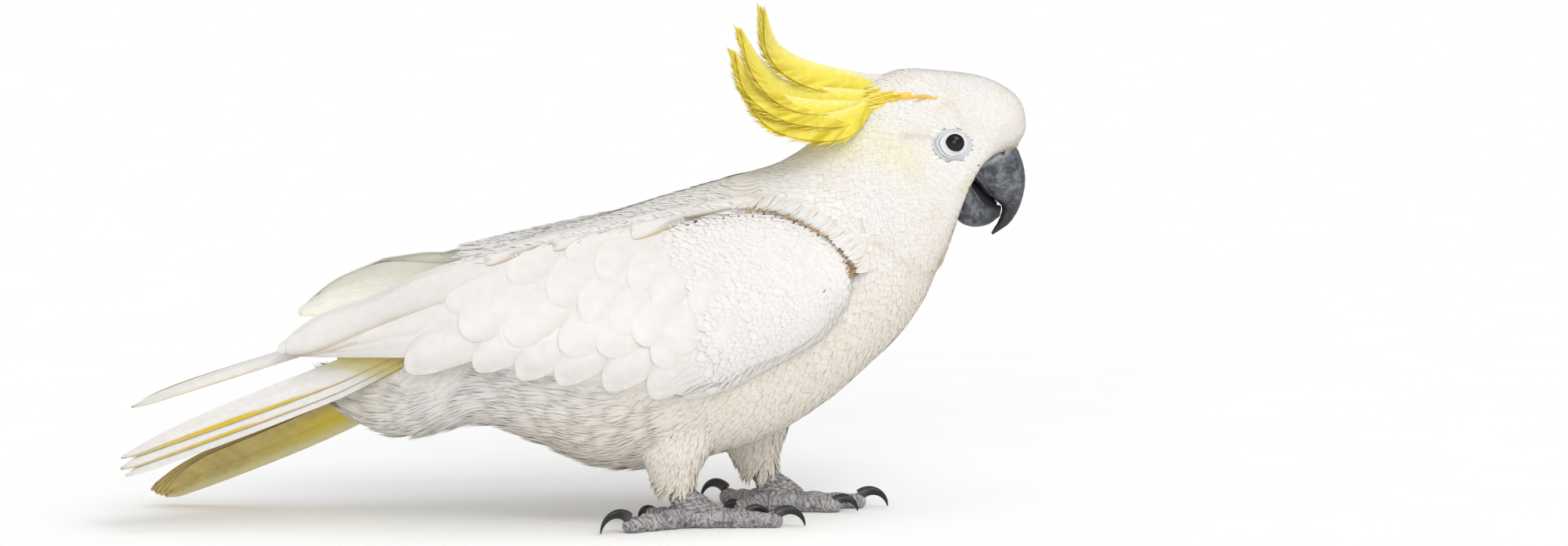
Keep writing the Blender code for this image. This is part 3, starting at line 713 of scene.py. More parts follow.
def feathered(chart, p, q, length, width, yaw, rise, profile, dip, lie=None, pull=None):
    """Blades laid on a chart: rooted dip below it, rising to rise above it at the tip. Gives each blade's
    middle line, the way to its edge, its half thickness and the way that the surface faces there.

    The blade's lie is the chart's own way from p = 0 to 1 unless lie says otherwise, turned by yaw. Places
    along and across the blade are turned into steps of p and q by the chart's slopes at the root."""
    small = 0.002
    slope_p = (chart(p + small, q)[0] - chart(p - small, q)[0]) / (2 * small)
    slope_q = (chart(p, q + small)[0] - chart(p, q - small)[0]) / (2 * small)
    root, normal = chart(p, q)
    heading = slope_p if lie is None else lie(root)
    heading = unit(heading - normal * (heading * normal).sum(axis=-1, keepdims=True))
    sideways = np.cross(normal, heading)
    turn = yaw[:, None]
    heading, sideways = (heading * np.cos(turn) + sideways * np.sin(turn),
                         sideways * np.cos(turn) - heading * np.sin(turn))
    e, f, g = ((a * b).sum(axis=-1) for a, b in ((slope_p, slope_p), (slope_p, slope_q), (slope_q, slope_q)))
    spread = np.maximum(e * g - f * f, 1e-6)

    def step(direction):
        a, b = (direction * slope_p).sum(axis=-1), (direction * slope_q).sum(axis=-1)
        return (a * g - b * f) / spread, (b * e - a * f) / spread

    ahead_p, ahead_q = step(heading)
    side_p, side_q = step(sideways)
    reach = np.linspace(0, 1, len(profile))
    along = length[:, None] * reach
    out = width[:, None] / 2 * np.asarray(profile)
    dip = np.broadcast_to(dip, p.shape)[:, None]
    lifts = -dip + (dip + rise[:, None]) * reach**1.2
    lines = []
    for edge in (-1, 0, 1):
        at_p = p[:, None] + ahead_p[:, None] * along + side_p[:, None] * out * edge
        at_q = q[:, None] + ahead_q[:, None] * along + side_q[:, None] * out * edge
        place, way_out = chart(at_p, at_q)
        over = np.maximum(at_p - 1, 0) + np.minimum(at_p, 0)
        place = place + (slope_p[:, None] * over[..., None])
        lines.append(place + way_out * (lifts + (BLADE_CUP * out if edge == 0 else 0))[..., None])
        if edge == 0:
            facing = way_out
    left, spine, right = lines
    if pull is not None:
        drawn = pull[:, None] * (reach**2)[None, :, None]
        left, spine, right = left + drawn, spine + drawn, right + drawn
    across = (right - left) / 2
    above = unit(np.cross(across, np.gradient(spine, axis=1))) * BLADE_THICK * np.asarray(profile)[:, None]
    above *= np.sign((above * normal[:, None]).sum(axis=-1, keepdims=True))
    return spine, across, above, facing


def soft_facing(across, above, facing, own, bow):
    """How each corner of each blade is shaded: as the surface under it, with a share of the blade's own
    facing, and bowed over from edge to edge. The underside takes the opposite."""
    middle = unit(facing * (1 - own) + unit(above) * own)
    lean = unit(across) * bow
    ring = np.stack([unit(middle - lean), middle, unit(middle + lean), middle], axis=2)
    count, stations = ring.shape[:2]
    table = np.concatenate([ring.reshape(count, -1, 3), middle[:, :1], middle[:, -1:]], axis=1)
    sides = np.array([1, 1, -1, -1])
    return table.reshape(-1, 3), [np.tile(sides, (stations - 1) * count), np.tile(sides, 2 * count)]


def corner_facing(faces, table, sides):
    """The facing of every corner of every face, read from the points' table and turned to the face's side."""
    return [(table[part] * side[:, None, None]).reshape(-1, 3) for part, side in zip(faces, sides)]


def coat_piece(name, blade, root_uv, tint, root_shade=0.05, own=0.4, bow=0.18):
    """One piece from a batch of blades, each coloured by its root's place, with painted shade darkening it
    towards the root, where the blades above would shade it.
    """
    spine, across, above, facing = blade
    count, stations, _ = spine.shape
    points, faces = blades(spine, across, above)
    reach = np.concatenate([np.linspace(0, 1, stations).repeat(4), [0, 1]])
    # painted shade towards each blade's root, which lies under its neighbours
    shade = 1 - root_shade * (1 - reach) ** 2
    colours = tint[:, None] * shade[None, :, None]
    length = np.linalg.norm(spine[:, -1] - spine[:, 0], axis=-1)
    half = np.linalg.norm(across, axis=-1)
    edge = (half[..., None] * np.array([1, 0, 1, 0])).reshape(count, -1)
    edge = np.concatenate([edge, np.zeros((count, 2))], axis=1)
    barb = length[:, None] * reach - edge
    turned = np.concatenate(corner_facing(faces, *soft_facing(across, above, facing, own, bow)))
    return new_piece(name, points.reshape(-1, 3), faces, DOWN, colours.reshape(-1, 3), barb.ravel(),
                     patches(root_uv, stations).reshape(-1, 2), facing=turned)


# %% [markdown]
# ## One skin
#
# Under the plumage a bird is much slimmer than it looks, but a skin just inside the coat is enough here:
# it closes every chink between feathers. Body, thighs and the arms of the wings are made as closed forms
# that run into each other, then melted into one with a voxel remesh, which leaves no seam.

# %% Distance from the face
FACE = np.array([214, 14, 188.0])


def grain(points):
    """0 beside the bill and eye, rising to 1 on the breast and beyond."""
    return smooth(np.linalg.norm(folded(points) - FACE, axis=-1), 8, 125)


# %% Thighs
FOOT_MIDDLE = {"right": (56, -28), "left": (102, 28)}
# up, ahead of the foot's middle, out from it, half length, half width
THIGH = np.array([
    (72, 1, -5, 20, 11), (60, 0, 0, 24, 15), (50, -2, 0, 22, 15.5), (39, -5, 1, 18.5, 14.5),
    (29, -5.5, 1, 13.5, 11), (19, -5, 0, 10.5, 8),
], float)
THIGH_LEAN = {"right": 0, "left": -13}


def leg_rings(side, stations, count, around, lean=0.0):
    """Level ovals down a leg, whose top may lean ahead of its foot."""
    rows = through(stations, count)
    rows[:, 1] += lean * (rows[:, 0] - rows[-1, 0]) / (rows[0, 0] - rows[-1, 0])
    ahead, across = FOOT_MIDDLE[side]
    turn = whole_turn(around)[None, :]
    along = ahead + rows[:, 1:2] + rows[:, 3:4] * np.cos(turn)
    sideways = across + SIDES[side] * rows[:, 2:3] + rows[:, 4:5] * np.sin(turn)
    return np.stack([along, sideways, rows[:, 0:1] + 0 * along], axis=-1)


thigh_rings = {side: leg_rings(side, THIGH, 40, 60, THIGH_LEAN[side]) for side in SIDES}
thigh_charts = {side: chart_of_rings(rings) for side, rings in thigh_rings.items()}


# %% Join and melt
def joined(parts):
    """Points and faces of several closed forms as one list of each."""
    points, quads, fans, first = [], [], [], 0
    for part_points, (part_quads, part_fans) in parts:
        points.append(part_points)
        quads.append(part_quads + first)
        fans.append(part_fans + first)
        first += len(part_points)
    return np.concatenate(points), [np.concatenate(quads), np.concatenate(fans)]


def melted(points, faces, voxel):
    """The forms joined by a voxel remesh and smoothed; gives points in millimetres and triangles."""
    mesh = bpy.data.meshes.new("rough")
    mesh.from_pydata(points.tolist(), [], faces[0].tolist() + faces[1].tolist())
    rough = bpy.data.objects.new("rough", mesh)
    bpy.context.scene.collection.objects.link(rough)
    remesh = rough.modifiers.new("melt", "REMESH")
    remesh.mode, remesh.voxel_size = "VOXEL", voxel
    relax = rough.modifiers.new("relax", "SMOOTH")
    relax.iterations = 4
    shape = rough.evaluated_get(bpy.context.evaluated_depsgraph_get()).to_mesh()
    shape.calc_loop_triangles()
    found = np.empty(len(shape.vertices) * 3, np.float32)
    corners = np.empty(len(shape.loop_triangles) * 3, np.int32)
    shape.vertices.foreach_get("co", found)
    shape.loop_triangles.foreach_get("vertices", corners)
    bpy.data.objects.remove(rough)
    return found.reshape(-1, 3).astype(float), corners.reshape(-1, 3)


def slimmed(rings, depth):
    """Rings moved inwards along the surface's own normals."""
    rows, around, _ = rings.shape
    _, normal = chart_of_rings(rings)(*net_of(np.linspace(0, 1, rows), np.arange(around) / around))
    return rings - normal * depth


def wing_arm(side, slimmer=1.8, narrower=4.0):
    """The fleshy blade of the wing: the wing's dome, slimmer, narrower and ending where the quills do."""
    rows = wing_rows(side, 60)
    rows = rows[rows[:, 0] > -45]
    down = np.linspace(0, 1, 24)[None, :]
    top, low = rows[:, 2:3] - narrower, rows[:, 4:5] + narrower
    level = top + (low - top) * down
    outer = wing_outside(rows, down) - slimmer
    inner = outer + slimmer - rows[:, 6:7] * (0.12 + 0.88 * dome(down)) - slimmer
    ahead = np.broadcast_to(rows[:, 0:1] - narrower, level.shape)
    outside = np.stack([ahead, outer * SIDES[side], level], axis=-1)
    inside = np.stack([ahead, inner * SIDES[side], level], axis=-1)
    return np.concatenate([outside, inside[:, ::-1]], axis=1)


slim_body = slimmed(body_rings, 0.9 + (COAT_DEPTH - 0.9) * grain(body_rings)[..., None])
forms = [closed_tube(slim_body[::2, ::2])]
for side in SIDES:
    forms.append(closed_tube(slimmed(thigh_rings[side], 2.0)[::2, ::2]))
    forms.append(closed_tube(wing_arm(side)))
skin_points, skin_faces = melted(*joined(forms), voxel=2.4)
flesh = ["head", "neck", "trunk"] + [f"{name}_{side}" for name in ("thigh", "wing") for side in SIDES]
new_piece("skin", skin_points, [skin_faces], DOWN, plumage_tint(skin_points),
          np.zeros(len(skin_points)), stands_for=flesh)

# %% [markdown]
# ## The coat of the body
#
# Feathers grow in size from the bill backwards: a few millimetres of velvet round the eye and bill, neat
# scales on the crown and neck, broad soft feathers on the breast, and long loose ones on belly and flank.
# One measure of distance from the face sets spacing, length and width together. The loose feathers of the
# belly are drawn together in locks, because that is how down hangs.

# %% Feather sizes and where none grow
EYE_PATCH, EYE_PATCH_RADII = np.array([197.2, 20, 198.8]), (11.7, 9.3)


def looseness(points):
    """0 on the sleek upper side, 1 on belly, flank and under the tail."""
    return smooth(-points[..., 2], -88, -50) * smooth(-points[..., 0], -105, -20)


def bare(points):
    """Where no feather grows on the body: the ring of bare skin round the eye."""
    place = folded(points)
    ahead, _, up = np.moveaxis(place - EYE_PATCH, -1, 0)
    return ((ahead / EYE_PATCH_RADII[0]) ** 2 + (up / EYE_PATCH_RADII[1]) ** 2 < 1) & (place[..., 1] > 12)


def hidden_by_wing(points):
    """The body's side well inside the outline of the folded wing."""
    rows = wing_rows("right", 60)[::-1]
    top, low = (np.interp(points[..., 0], rows[:, 0], rows[:, k]) for k in (2, 4))
    inside = (points[..., 2] < top - 9) & (points[..., 2] > low + 12)
    return inside & (points[..., 0] < 128) & (points[..., 0] > -120) & (np.abs(points[..., 1]) > 12)


def feather_spacing(points):
    """Millimetres between roots, endless where nothing grows."""
    gap = 1.1 + 1.3 * grain(points)
    return np.where(bare(points) | hidden_by_wing(points), 1e6, gap)


def locks(points, spacing, strength, salt):
    """A pull for each root that draws neighbours' tips together: its cell's random centre, less its place."""
    cell = np.floor(points / spacing + salt)
    scramble = np.sin(cell @ np.array([[12.9, 39.3, 71.7], [78.2, 11.1, 53.3], [37.7, 91.9, 23.1]])) * 43758.5
    centre = (cell - salt + 0.2 + 0.6 * (scramble - np.floor(scramble))) * spacing
    return (centre - points) * strength


# %% Lay the coat
OVAL_TIP = (0.55, 0.95, 1.0, 0.75, 0.16)
SOFT_TIP = (0.5, 0.9, 0.9, 0.6, 0.15)


def lay_coat(name, p_range, start, scale=1.0):
    """Contour feathers over one stretch of the body, root to tip along it."""
    p, q = scatter(body_chart, lambda points: feather_spacing(points) * scale, p_range, start=start)
    roots, _ = body_chart(p, q)
    size, loose = grain(roots), looseness(roots)
    count = len(p)
    length = (3.6 + 8.0 * size + 4 * loose) * dice.uniform(0.8, 1.15, count)
    length *= 1 - 0.55 * smooth(-roots[:, 0], 90, 116) * smooth(roots[:, 2], 74, 86)
    width = (2.2 + 4.6 * size - 0.8 * loose) * dice.uniform(0.85, 1.15, count)
    yaw = dice.normal(0, 0.07 + 0.08 * loose + 0.05 * size, count)
    rise = (0.03 + 0.12 * size + 0.15 * loose) * dice.uniform(0.0, 1.0, count)
    pull = locks(roots, 16, 0.08, start) * loose[:, None]
    dip = 0.35 + 0.75 * size + 0.9 * loose
    blade = feathered(body_chart, p, q, length, width, yaw, rise, OVAL_TIP, dip, pull=pull)
    tint = plumage_tint(roots) * dice.normal(1, 0.018, (count, 1)).clip(0.94, 1.04)
    on_breast = smooth(roots[:, 0], 90, 130) * smooth(-roots[:, 2], -170, -120)
    flecked = dice.uniform(0, 1, count) < 0.02 * on_breast
    tint = mix(tint, OLIVE_AND_SHADE, 0.3 * flecked)
    coat_piece(name, blade, mapped(p, q), tint)


lay_coat("coat_face", (0.004, 0.2), 0.11, 0.98)
lay_coat("coat_crown_and_nape", (0.2, 0.36), 0.23, 1.14)
lay_coat("coat_neck", (0.36, 0.5), 0.37, 1.08)
lay_coat("coat_breast", (0.5, 0.68), 0.41, 1.1)
lay_coat("coat_belly_and_back", (0.68, 0.86), 0.59)
lay_coat("coat_rump", (0.86, 0.995), 0.73)

# %% The thighs' feathers, ragged at the shank
for side in SIDES:
    chart = thigh_charts[side]
    p, q = scatter(chart, evenly(2.0), (0.02, 0.985), start=0.19)
    roots, _ = chart(p, q)
    count = len(p)
    low, high = smooth(p, 0.55, 1.0), smooth(-p, -0.4, -0.15)
    length = (12 - 4.5 * low) * dice.uniform(0.75, 1.2, count)
    width = (5.0 - 3.0 * low) * dice.uniform(0.85, 1.15, count)
    yaw = dice.normal(0, 0.10 + 0.2 * low, count)
    rise = 0.1 + (0.3 + 0.9 * low) * dice.uniform(0.0, 1.0, count) - 0.5 * high
    blade = feathered(chart, p, q, length, width, yaw, rise, SOFT_TIP, dip=2.0, lie=lying(-0.55, 0, -1),
                      pull=locks(roots, 7, 0.4, 0.3) * low[:, None])
    tint = plumage_tint(roots + np.array([0, 0, 24]) * (1 - high[:, None]))
    tint = mix(tint * dice.normal(1, 0.02, (count, 1)).clip(0.92, 1.05), WARM, 0.3 * low)
    coat_piece(f"coat_thigh_{side}", blade, mapped(p, q), tint, root_shade=0.08)

# %% [markdown]
# ## Down on flank and vent
#
# Behind and above the legs the feathers have no hooks to hold them flat and stand as fluffy lobes, each
# about 27 mm long, rounded and frayed at its end. A lobe is a bunch of fine barbs that fan out from one
# root and rise in the middle. Its barbs are shaded as one rounded form.


# %% Lobes of down
def nudged(chart, p, q, along, aside):
    """Places on a chart moved by millimetres the way of p and the way of q."""
    small = 0.002
    per_p = np.linalg.norm(chart(p + small, q)[0] - chart(p - small, q)[0], axis=-1) / (2 * small)
    per_q = np.linalg.norm(chart(p, q + small)[0] - chart(p, q - small)[0], axis=-1) / (2 * small)
    return p + along / per_p, q + aside / per_q


def down_lobes(side, spacing=9.5, barbs=28):
    """Lobes over one side's flank and vent. place runs across a lobe from -1 to 1; the height of its barbs
    falls as the square of place, and so does their length."""
    def room(points):
        grows = (looseness(points) > 0.3) & (points[..., 1] * SIDES[side] > 0) & ~hidden_by_wing(points)
        return np.where(grows, spacing, 1e6)

    p, q = scatter(body_chart, room, (0.5, 0.985), start=0.47)
    lobe = np.arange(len(p)).repeat(barbs)
    place = np.tile(np.linspace(-1, 1, barbs), len(p))
    size = dice.uniform(0.8, 1.15, len(p))[lobe]
    begin = dice.uniform(0, 0.35, len(lobe))
    length = 27 * size
    at_p, at_q = nudged(body_chart, p[lobe], q[lobe], begin * length, place * 3.6 * size)
    reach = length * (1 - begin) * (1 - 0.3 * place**2) * dice.uniform(0.82, 1.04, len(lobe))
    yaw = -0.3 * place + dice.normal(0, 0.05, len(lobe)) + dice.normal(0, 0.1, len(p))[lobe]
    rise = 2.4 * (1 - place**2) * dice.uniform(0.75, 1.1, len(lobe)) + 0.1
    blade = feathered(body_chart, at_p, at_q, reach, np.full(len(lobe), 2.4), yaw, rise,
                      (0.7, 1.0, 0.75, 0.12), dip=1.2)
    spine, across, above, facing = blade
    run = np.linspace(0, 1, spine.shape[1])[None, :, None]
    facing = facing - unit(across) * (0.6 * place)[:, None, None]
    facing = facing + unit(np.gradient(spine, axis=1)) * 0.5 * run**2
    shade = dice.uniform(0.99, 1.05, len(p))[lobe] * dice.normal(1, 0.012, len(lobe)).clip(0.95, 1.04)
    tint = plumage_tint(body_chart(p, q)[0] + (0, 0, 6))[lobe] * shade[:, None]
    coat_piece(f"flank_down_{side}", (spine, across, above, unit(facing)),
               mapped(at_p.clip(0, 1), np.mod(at_q, 1)), tint, root_shade=0.06, own=0.12, bow=0.1)


for side in SIDES:
    down_lobes(side)

# %% [markdown]
# ## The mantle
#
# Between the folded wings the feathers of the back spread over both wings' upper edges, so that no gap shows
# from above. They are laid on a bridge: a surface stretched from the ridge of the back to each wing's edge.


# %% Feathers that bridge back and wings
def mantle_chart(side):
    """A bridge from near the ridge to the wing's upper edge, never lower than the body's own oval."""
    rows = wing_rows(side, 120)[::-1]
    ahead = np.linspace(96, -50, 70)[:, None]
    edge_out, edge_up = (np.interp(ahead, rows[:, 0], rows[:, k]) for k in (1, 2))
    order = BODY[::-1]
    top, low, half = (np.interp(ahead, order[:, 0], order[:, k]) for k in (1, 3, 4))
    out = 5 + (edge_out + 3 - 5) * np.linspace(0, 1, 24)[None, :]

    def oval(place):
        level = (1 - (place / half).clip(0, 1) ** (2 / FULLNESS)) ** (FULLNESS / 2)
        return (top + low) / 2 + (top - low) / 2 * level

    share = (out - 5) / (edge_out + 3 - 5)
    bulge = (1 - (1 - share) ** 1.8) if side == "left" else share**0.8
    rim = 0 if side == "left" else 3.2 * smooth(share, 0.8, 1.0) ** 2
    up = oval(5.0) + (edge_up + 2.2 - oval(5.0)) * bulge - rim
    up = np.maximum(up, oval(out) + 0.2)
    grid = np.stack([ahead + 0 * out, out * SIDES[side], up], axis=-1)
    return chart_of(grid, False, np.array([0, 0, 1.0]))


for side in SIDES:
    chart = mantle_chart(side)
    p, q = scatter(chart, evenly(3.1), (0.0, 1.0), start=0.27)
    roots, _ = chart(p, q)
    count = len(p)
    length = 15 * dice.uniform(0.85, 1.15, count)
    blade = feathered(chart, p, q, length, 8 * dice.uniform(0.85, 1.1, count), dice.normal(0, 0.07, count),
                      0.25 * dice.uniform(0.2, 1.0, count), OVAL_TIP, dip=1.4, lie=lying(-1, 0, 0))
    tint = plumage_tint(roots) * dice.normal(1, 0.014, (count, 1)).clip(0.95, 1.03)
    coat_piece(f"mantle_{side}", blade, mapped(p, q), tint)

# %% [markdown]
# ## Fringes
#
# Where the wing's bend meets the breast, the breast's feathers overlap its rim and hide the gap, with
# stained, hair-like tips between them. Bristles of the same kind edge the bill and hang at the throat.

# %% Over the bend of the wing
WING_BEND = (
    (56, 165), (76, 168.5), (98, 168.5), (114, 164), (126, 157.5), (135.5, 149), (141.5, 139.5), (143.5, 131),
    (142, 123.5), (138, 116), (130, 106),
)
BRISTLE, BRISTLE_PALE = paint(142, 104, 58), paint(190, 164, 120)


def bend_fringe(name, side, count, along, over, length, width, tint):
    """Blades from the breast to the wing's rim. along says where on the bend they end, over how far past
    its outline; each starts a length away, up and ahead, on the body."""
    line = through(np.array(WING_BEND, float), 400)
    way = unit(np.gradient(line, axis=0))
    outward = np.stack([-way[:, 1], way[:, 0]], axis=-1)
    row = (along * 399).astype(int)
    heading = unit(-0.35 * outward[row] + np.array([-1.0, -0.45]) + dice.normal(0, 0.12, (count, 2)))
    end = line[row] - outward[row] * over[:, None]
    start = end - heading * length[:, None]
    out = body_side(start[:, 0], start[:, 1], side, 125) - 1.2 * SIDES[side]
    begin = np.stack([start[:, 0], out, start[:, 1]], axis=-1)
    finish = on_wing(side, end[:, 0], end[:, 1], 1.0)
    reach = np.linspace(0, 1, 5)[None, :, None]
    bulge = np.array([0, SIDES[side], 0]) * 1.5 * np.sin(math.pi * reach)
    spine = begin[:, None] + (finish - begin)[:, None] * reach + bulge
    upwards = 1.5 - 1.4 * smooth(along, 0.1, 0.6)
    lean = np.stack([0 * along, 0 * along + SIDES[side], upwards], axis=-1)[:, None]
    sideways = unit(np.cross(unit(np.gradient(spine, axis=1)), lean))
    profile = np.array([0.7, 1.0, 0.95, 0.65, 0.15])[None, :, None]
    across = sideways * width / 2 * profile
    above = unit(np.cross(across, np.gradient(spine, axis=1))) * 0.05 * profile
    above *= np.sign((above * lean).sum(axis=-1, keepdims=True))
    root_uv = np.stack([0.02 + 0.96 * along, dice.uniform(0.02, 0.98, count)], axis=-1)
    facing = unit(unit(above) + (0, 0, 0.35))
    coat_piece(name, (spine, across, above, facing), root_uv, tint(begin), root_shade=0)


for side in SIDES:
    count = 130
    # golden blades along the bend: partly a golden tone, partly painted shade of the gap under the breast's
    # feathers
    bend_fringe(f"bend_gold_and_seam_shade_{side}", side, count, dice.uniform(0.15, 0.42, count),
                dice.uniform(1.6, 2.2, count), dice.uniform(5, 8, count), 1.6,
                lambda begin: mix(paint(206, 158, 96), paint(224, 196, 150), dice.uniform(0, 1, len(begin))))
    count = 300
    along = dice.uniform(0.12, 0.66, count)
    bend_fringe(f"breast_edge_{side}", side, count, along,
                dice.uniform(-0.5, 1.5, count) - 3 * smooth(along, 0.5, 0.66),
                dice.uniform(6, 9, count), 2.6,
                lambda begin: plumage_tint(begin) * dice.normal(1, 0.014, (len(begin), 1)).clip(0.95, 1.03))
    count = 220
    bend_fringe(f"bend_bristles_{side}", side, count, dice.uniform(0.22, 0.68, count),
                dice.uniform(0.2, 3.2, count), dice.uniform(2.5, 5.0, count), 0.4,
                lambda begin: mix(BRISTLE, BRISTLE_PALE, dice.uniform(0, 1, len(begin)) ** 1.3))

# %% Bristles round the bill and at the throat
count = 420
p, q = dice.uniform(0.0, 0.022, count), dice.uniform(0, 1, count)
blade = feathered(body_chart, p, q, dice.uniform(2.0, 4.2, count), np.full(count, 0.4),
                  dice.normal(0, 0.35, count), dice.uniform(0.1, 0.7, count), (1, 0.8, 0.5, 0.15),
                  dip=0.3, lie=lying(0.75, 0, -0.65))
tint = mix(mix(WHITE, STAIN, 0.6), paint(168, 148, 104), dice.uniform(0, 1, count) ** 3)
coat_piece("bill_bristles", blade, mapped(p, q), tint)

count = 130
low = smooth(dice.uniform(0, 1, count), 0, 1)
p = np.interp(low, (0, 1), (0.03, 0.19))
q = 0.5 + 0.035 * dice.normal(0, 1, count).clip(-2, 2)
blade = feathered(body_chart, p, q, dice.uniform(4, 7, count), np.full(count, 0.8),
                  dice.normal(0, 0.25, count), dice.uniform(0.2, 1.8, count), (1, 0.9, 0.6, 0.12),
                  dip=0.6, lie=lying(-0.35, 0, -1))
tint = mix(paint(222, 208, 182), paint(176, 148, 108), dice.uniform(0, 1, count) ** 1.4)
coat_piece("throat_bristles", blade, mapped(p, q), tint)

# %% [markdown]
# ## Large feathers
#
# A flight feather is a blade with a shaft: two vanes of unequal width that meet at a low ridge, cupped
# across, rounded at the tip. Its top is a grid of points, one way along the shaft and one way from edge to
# edge, and its underside is the same grid sunk along the normals by its thickness. Streaks that slant from
# the shaft to the edge show where the barbs part.

# %% A vane from its top surface
streak_table = dice.uniform(0, 1, 512)


def streaks(place):
    """Smooth random values along a line of millimetres: a table of dice read in between its entries."""
    place = np.mod(place, 511)
    low = np.minimum(place.astype(int), 510)
    share = place - low
    share = share * share * (3 - 2 * share)
    return streak_table[low] * (1 - share) + streak_table[low + 1] * share


def vane(top, thick, colour, under_colour, cell, cells):
    """The parts of one closed vane: points, faces, tint, barb, the place of each point on the map and the
    way each corner faces.

    top is station by edge-to-edge. Each vane has its own cell of the map, upper half for its top. The thin
    sides are left to be shaded by their own form."""
    along, across = np.gradient(top, axis=0), np.gradient(top, axis=1)
    normal = unit(np.cross(along, across))
    rows, columns, _ = top.shape
    mean = unit(normal[:, 3:-3].mean(axis=1, keepdims=True))
    edge = np.abs(np.linspace(-1, 1, columns))[None, :, None]
    tip = smooth(np.linspace(0, 1, rows), 0.78, 0.9)[:, None, None]
    rim = smooth(edge, 0.5, 0.8)
    # towards rim and tip the facing turns calm: the row's mean, and the mean of one row near the tip
    normal = unit((normal * (1 - rim) + mean * rim) * (1 - tip) + mean[[int(0.7 * rows)]] * tip)
    under = top + normal * thick * (0.25 + 0.75 * (1 - edge**2))
    points, faces = closed_tube(np.concatenate([top, under[:, ::-1]], axis=1))
    steps = np.linalg.norm(np.diff(top[:, columns // 2], axis=0), axis=-1)
    length = steps.sum()
    reach, share = net_of(np.concatenate([[0], np.cumsum(steps) / length]), np.linspace(-1, 1, columns))

    def both(upper, lower):
        """A table for each face of the vane as one list, in the order of the rings' points."""
        return np.concatenate([upper, lower[:, ::-1]], axis=1).reshape(rows * columns * 2, -1)

    tint = with_poles(both(colour, under_colour))
    width = np.linalg.norm(top[rows // 2, -1] - top[rows // 2, 0]) / 2
    barb = (reach * length - np.abs(share) * width * 0.8)[..., None]
    barb = np.concatenate([both(barb, barb)[:, 0], [0, length]])
    across_cells = int(math.ceil(math.sqrt(cells)))
    corner = np.array([cell % across_cells, cell // across_cells]) / across_cells
    upper = np.stack([0.05 + 0.9 * reach, 0.53 + 0.21 * (share + 1)], axis=-1)
    lower = np.stack([0.05 + 0.9 * reach, 0.05 + 0.21 * (share + 1)], axis=-1)
    place = both(upper, lower)
    place = np.concatenate([place, [[0.04, 0.5], [0.96, 0.5]]])
    outward = with_poles(both(normal, normal) * -np.sign(thick))
    column = np.arange(columns * 2)
    below = np.where(column >= columns, -1, 1) * ((column + 1) % columns > 0)
    below = np.tile(below, rows - 1)
    facing = [(outward[faces[0]] * below[:, None, None]).reshape(-1, 3), outward[faces[1]].reshape(-1, 3)]
    return points, faces, tint, barb, corner + place / across_cells, facing


def vanes_piece(name, parts, finish, stands_for=()):
    """Several vanes joined as one piece."""
    points, faces = joined([part[:2] for part in parts])
    tint, barb, place = (np.concatenate([part[k] for part in parts]) for k in (2, 3, 4))
    facing = np.concatenate([part[5][kind] for kind in (0, 1) for part in parts])
    return new_piece(name, points, faces, finish, tint, barb, place, stands_for, facing)


ROOT_SHARE = 0.45  # a vane's width at its root


def vane_outline(reach, length, width, pointed):
    """Half width along a vane: widening from the root, then a rounded tip as long as it is wide."""
    full = ROOT_SHARE + (1 - ROOT_SHARE) * smooth(reach, 0, 0.4)
    round_from = 1 - min(0.5, pointed * width * 0.62 / length)
    tip = np.sqrt(np.clip(1 - (np.clip(reach - round_from, 0, 1) / (1 - round_from)) ** 2.2, 0.004, 1))
    return width / 2 * full * tip


# %% [markdown]
# ## The wing's feathers
#
# The folded wing shows its feathers in order, like tiles: the long primaries lowest and hindmost, over them
# the secondaries with their rounded tips scalloping the wing's lower edge, then three rows of coverts, the
# scapulars along the back, and the smooth small coverts of the shoulder. Each row is a loop between a few
# stations that give the root, the tip and the width of its feathers. Within a row every feather's upper
# edge lies over its neighbour.


# %% Wing vanes
def carried(side, ahead, up):
    """A place of the right wing's side view moved to where that wing's tip is carried."""
    up = up + TIP_RAISE[side] * smooth(-ahead, 60, 118)
    return ahead + (1 - TIP_REACH[side]) * np.clip(-60 - ahead, 0, None), up


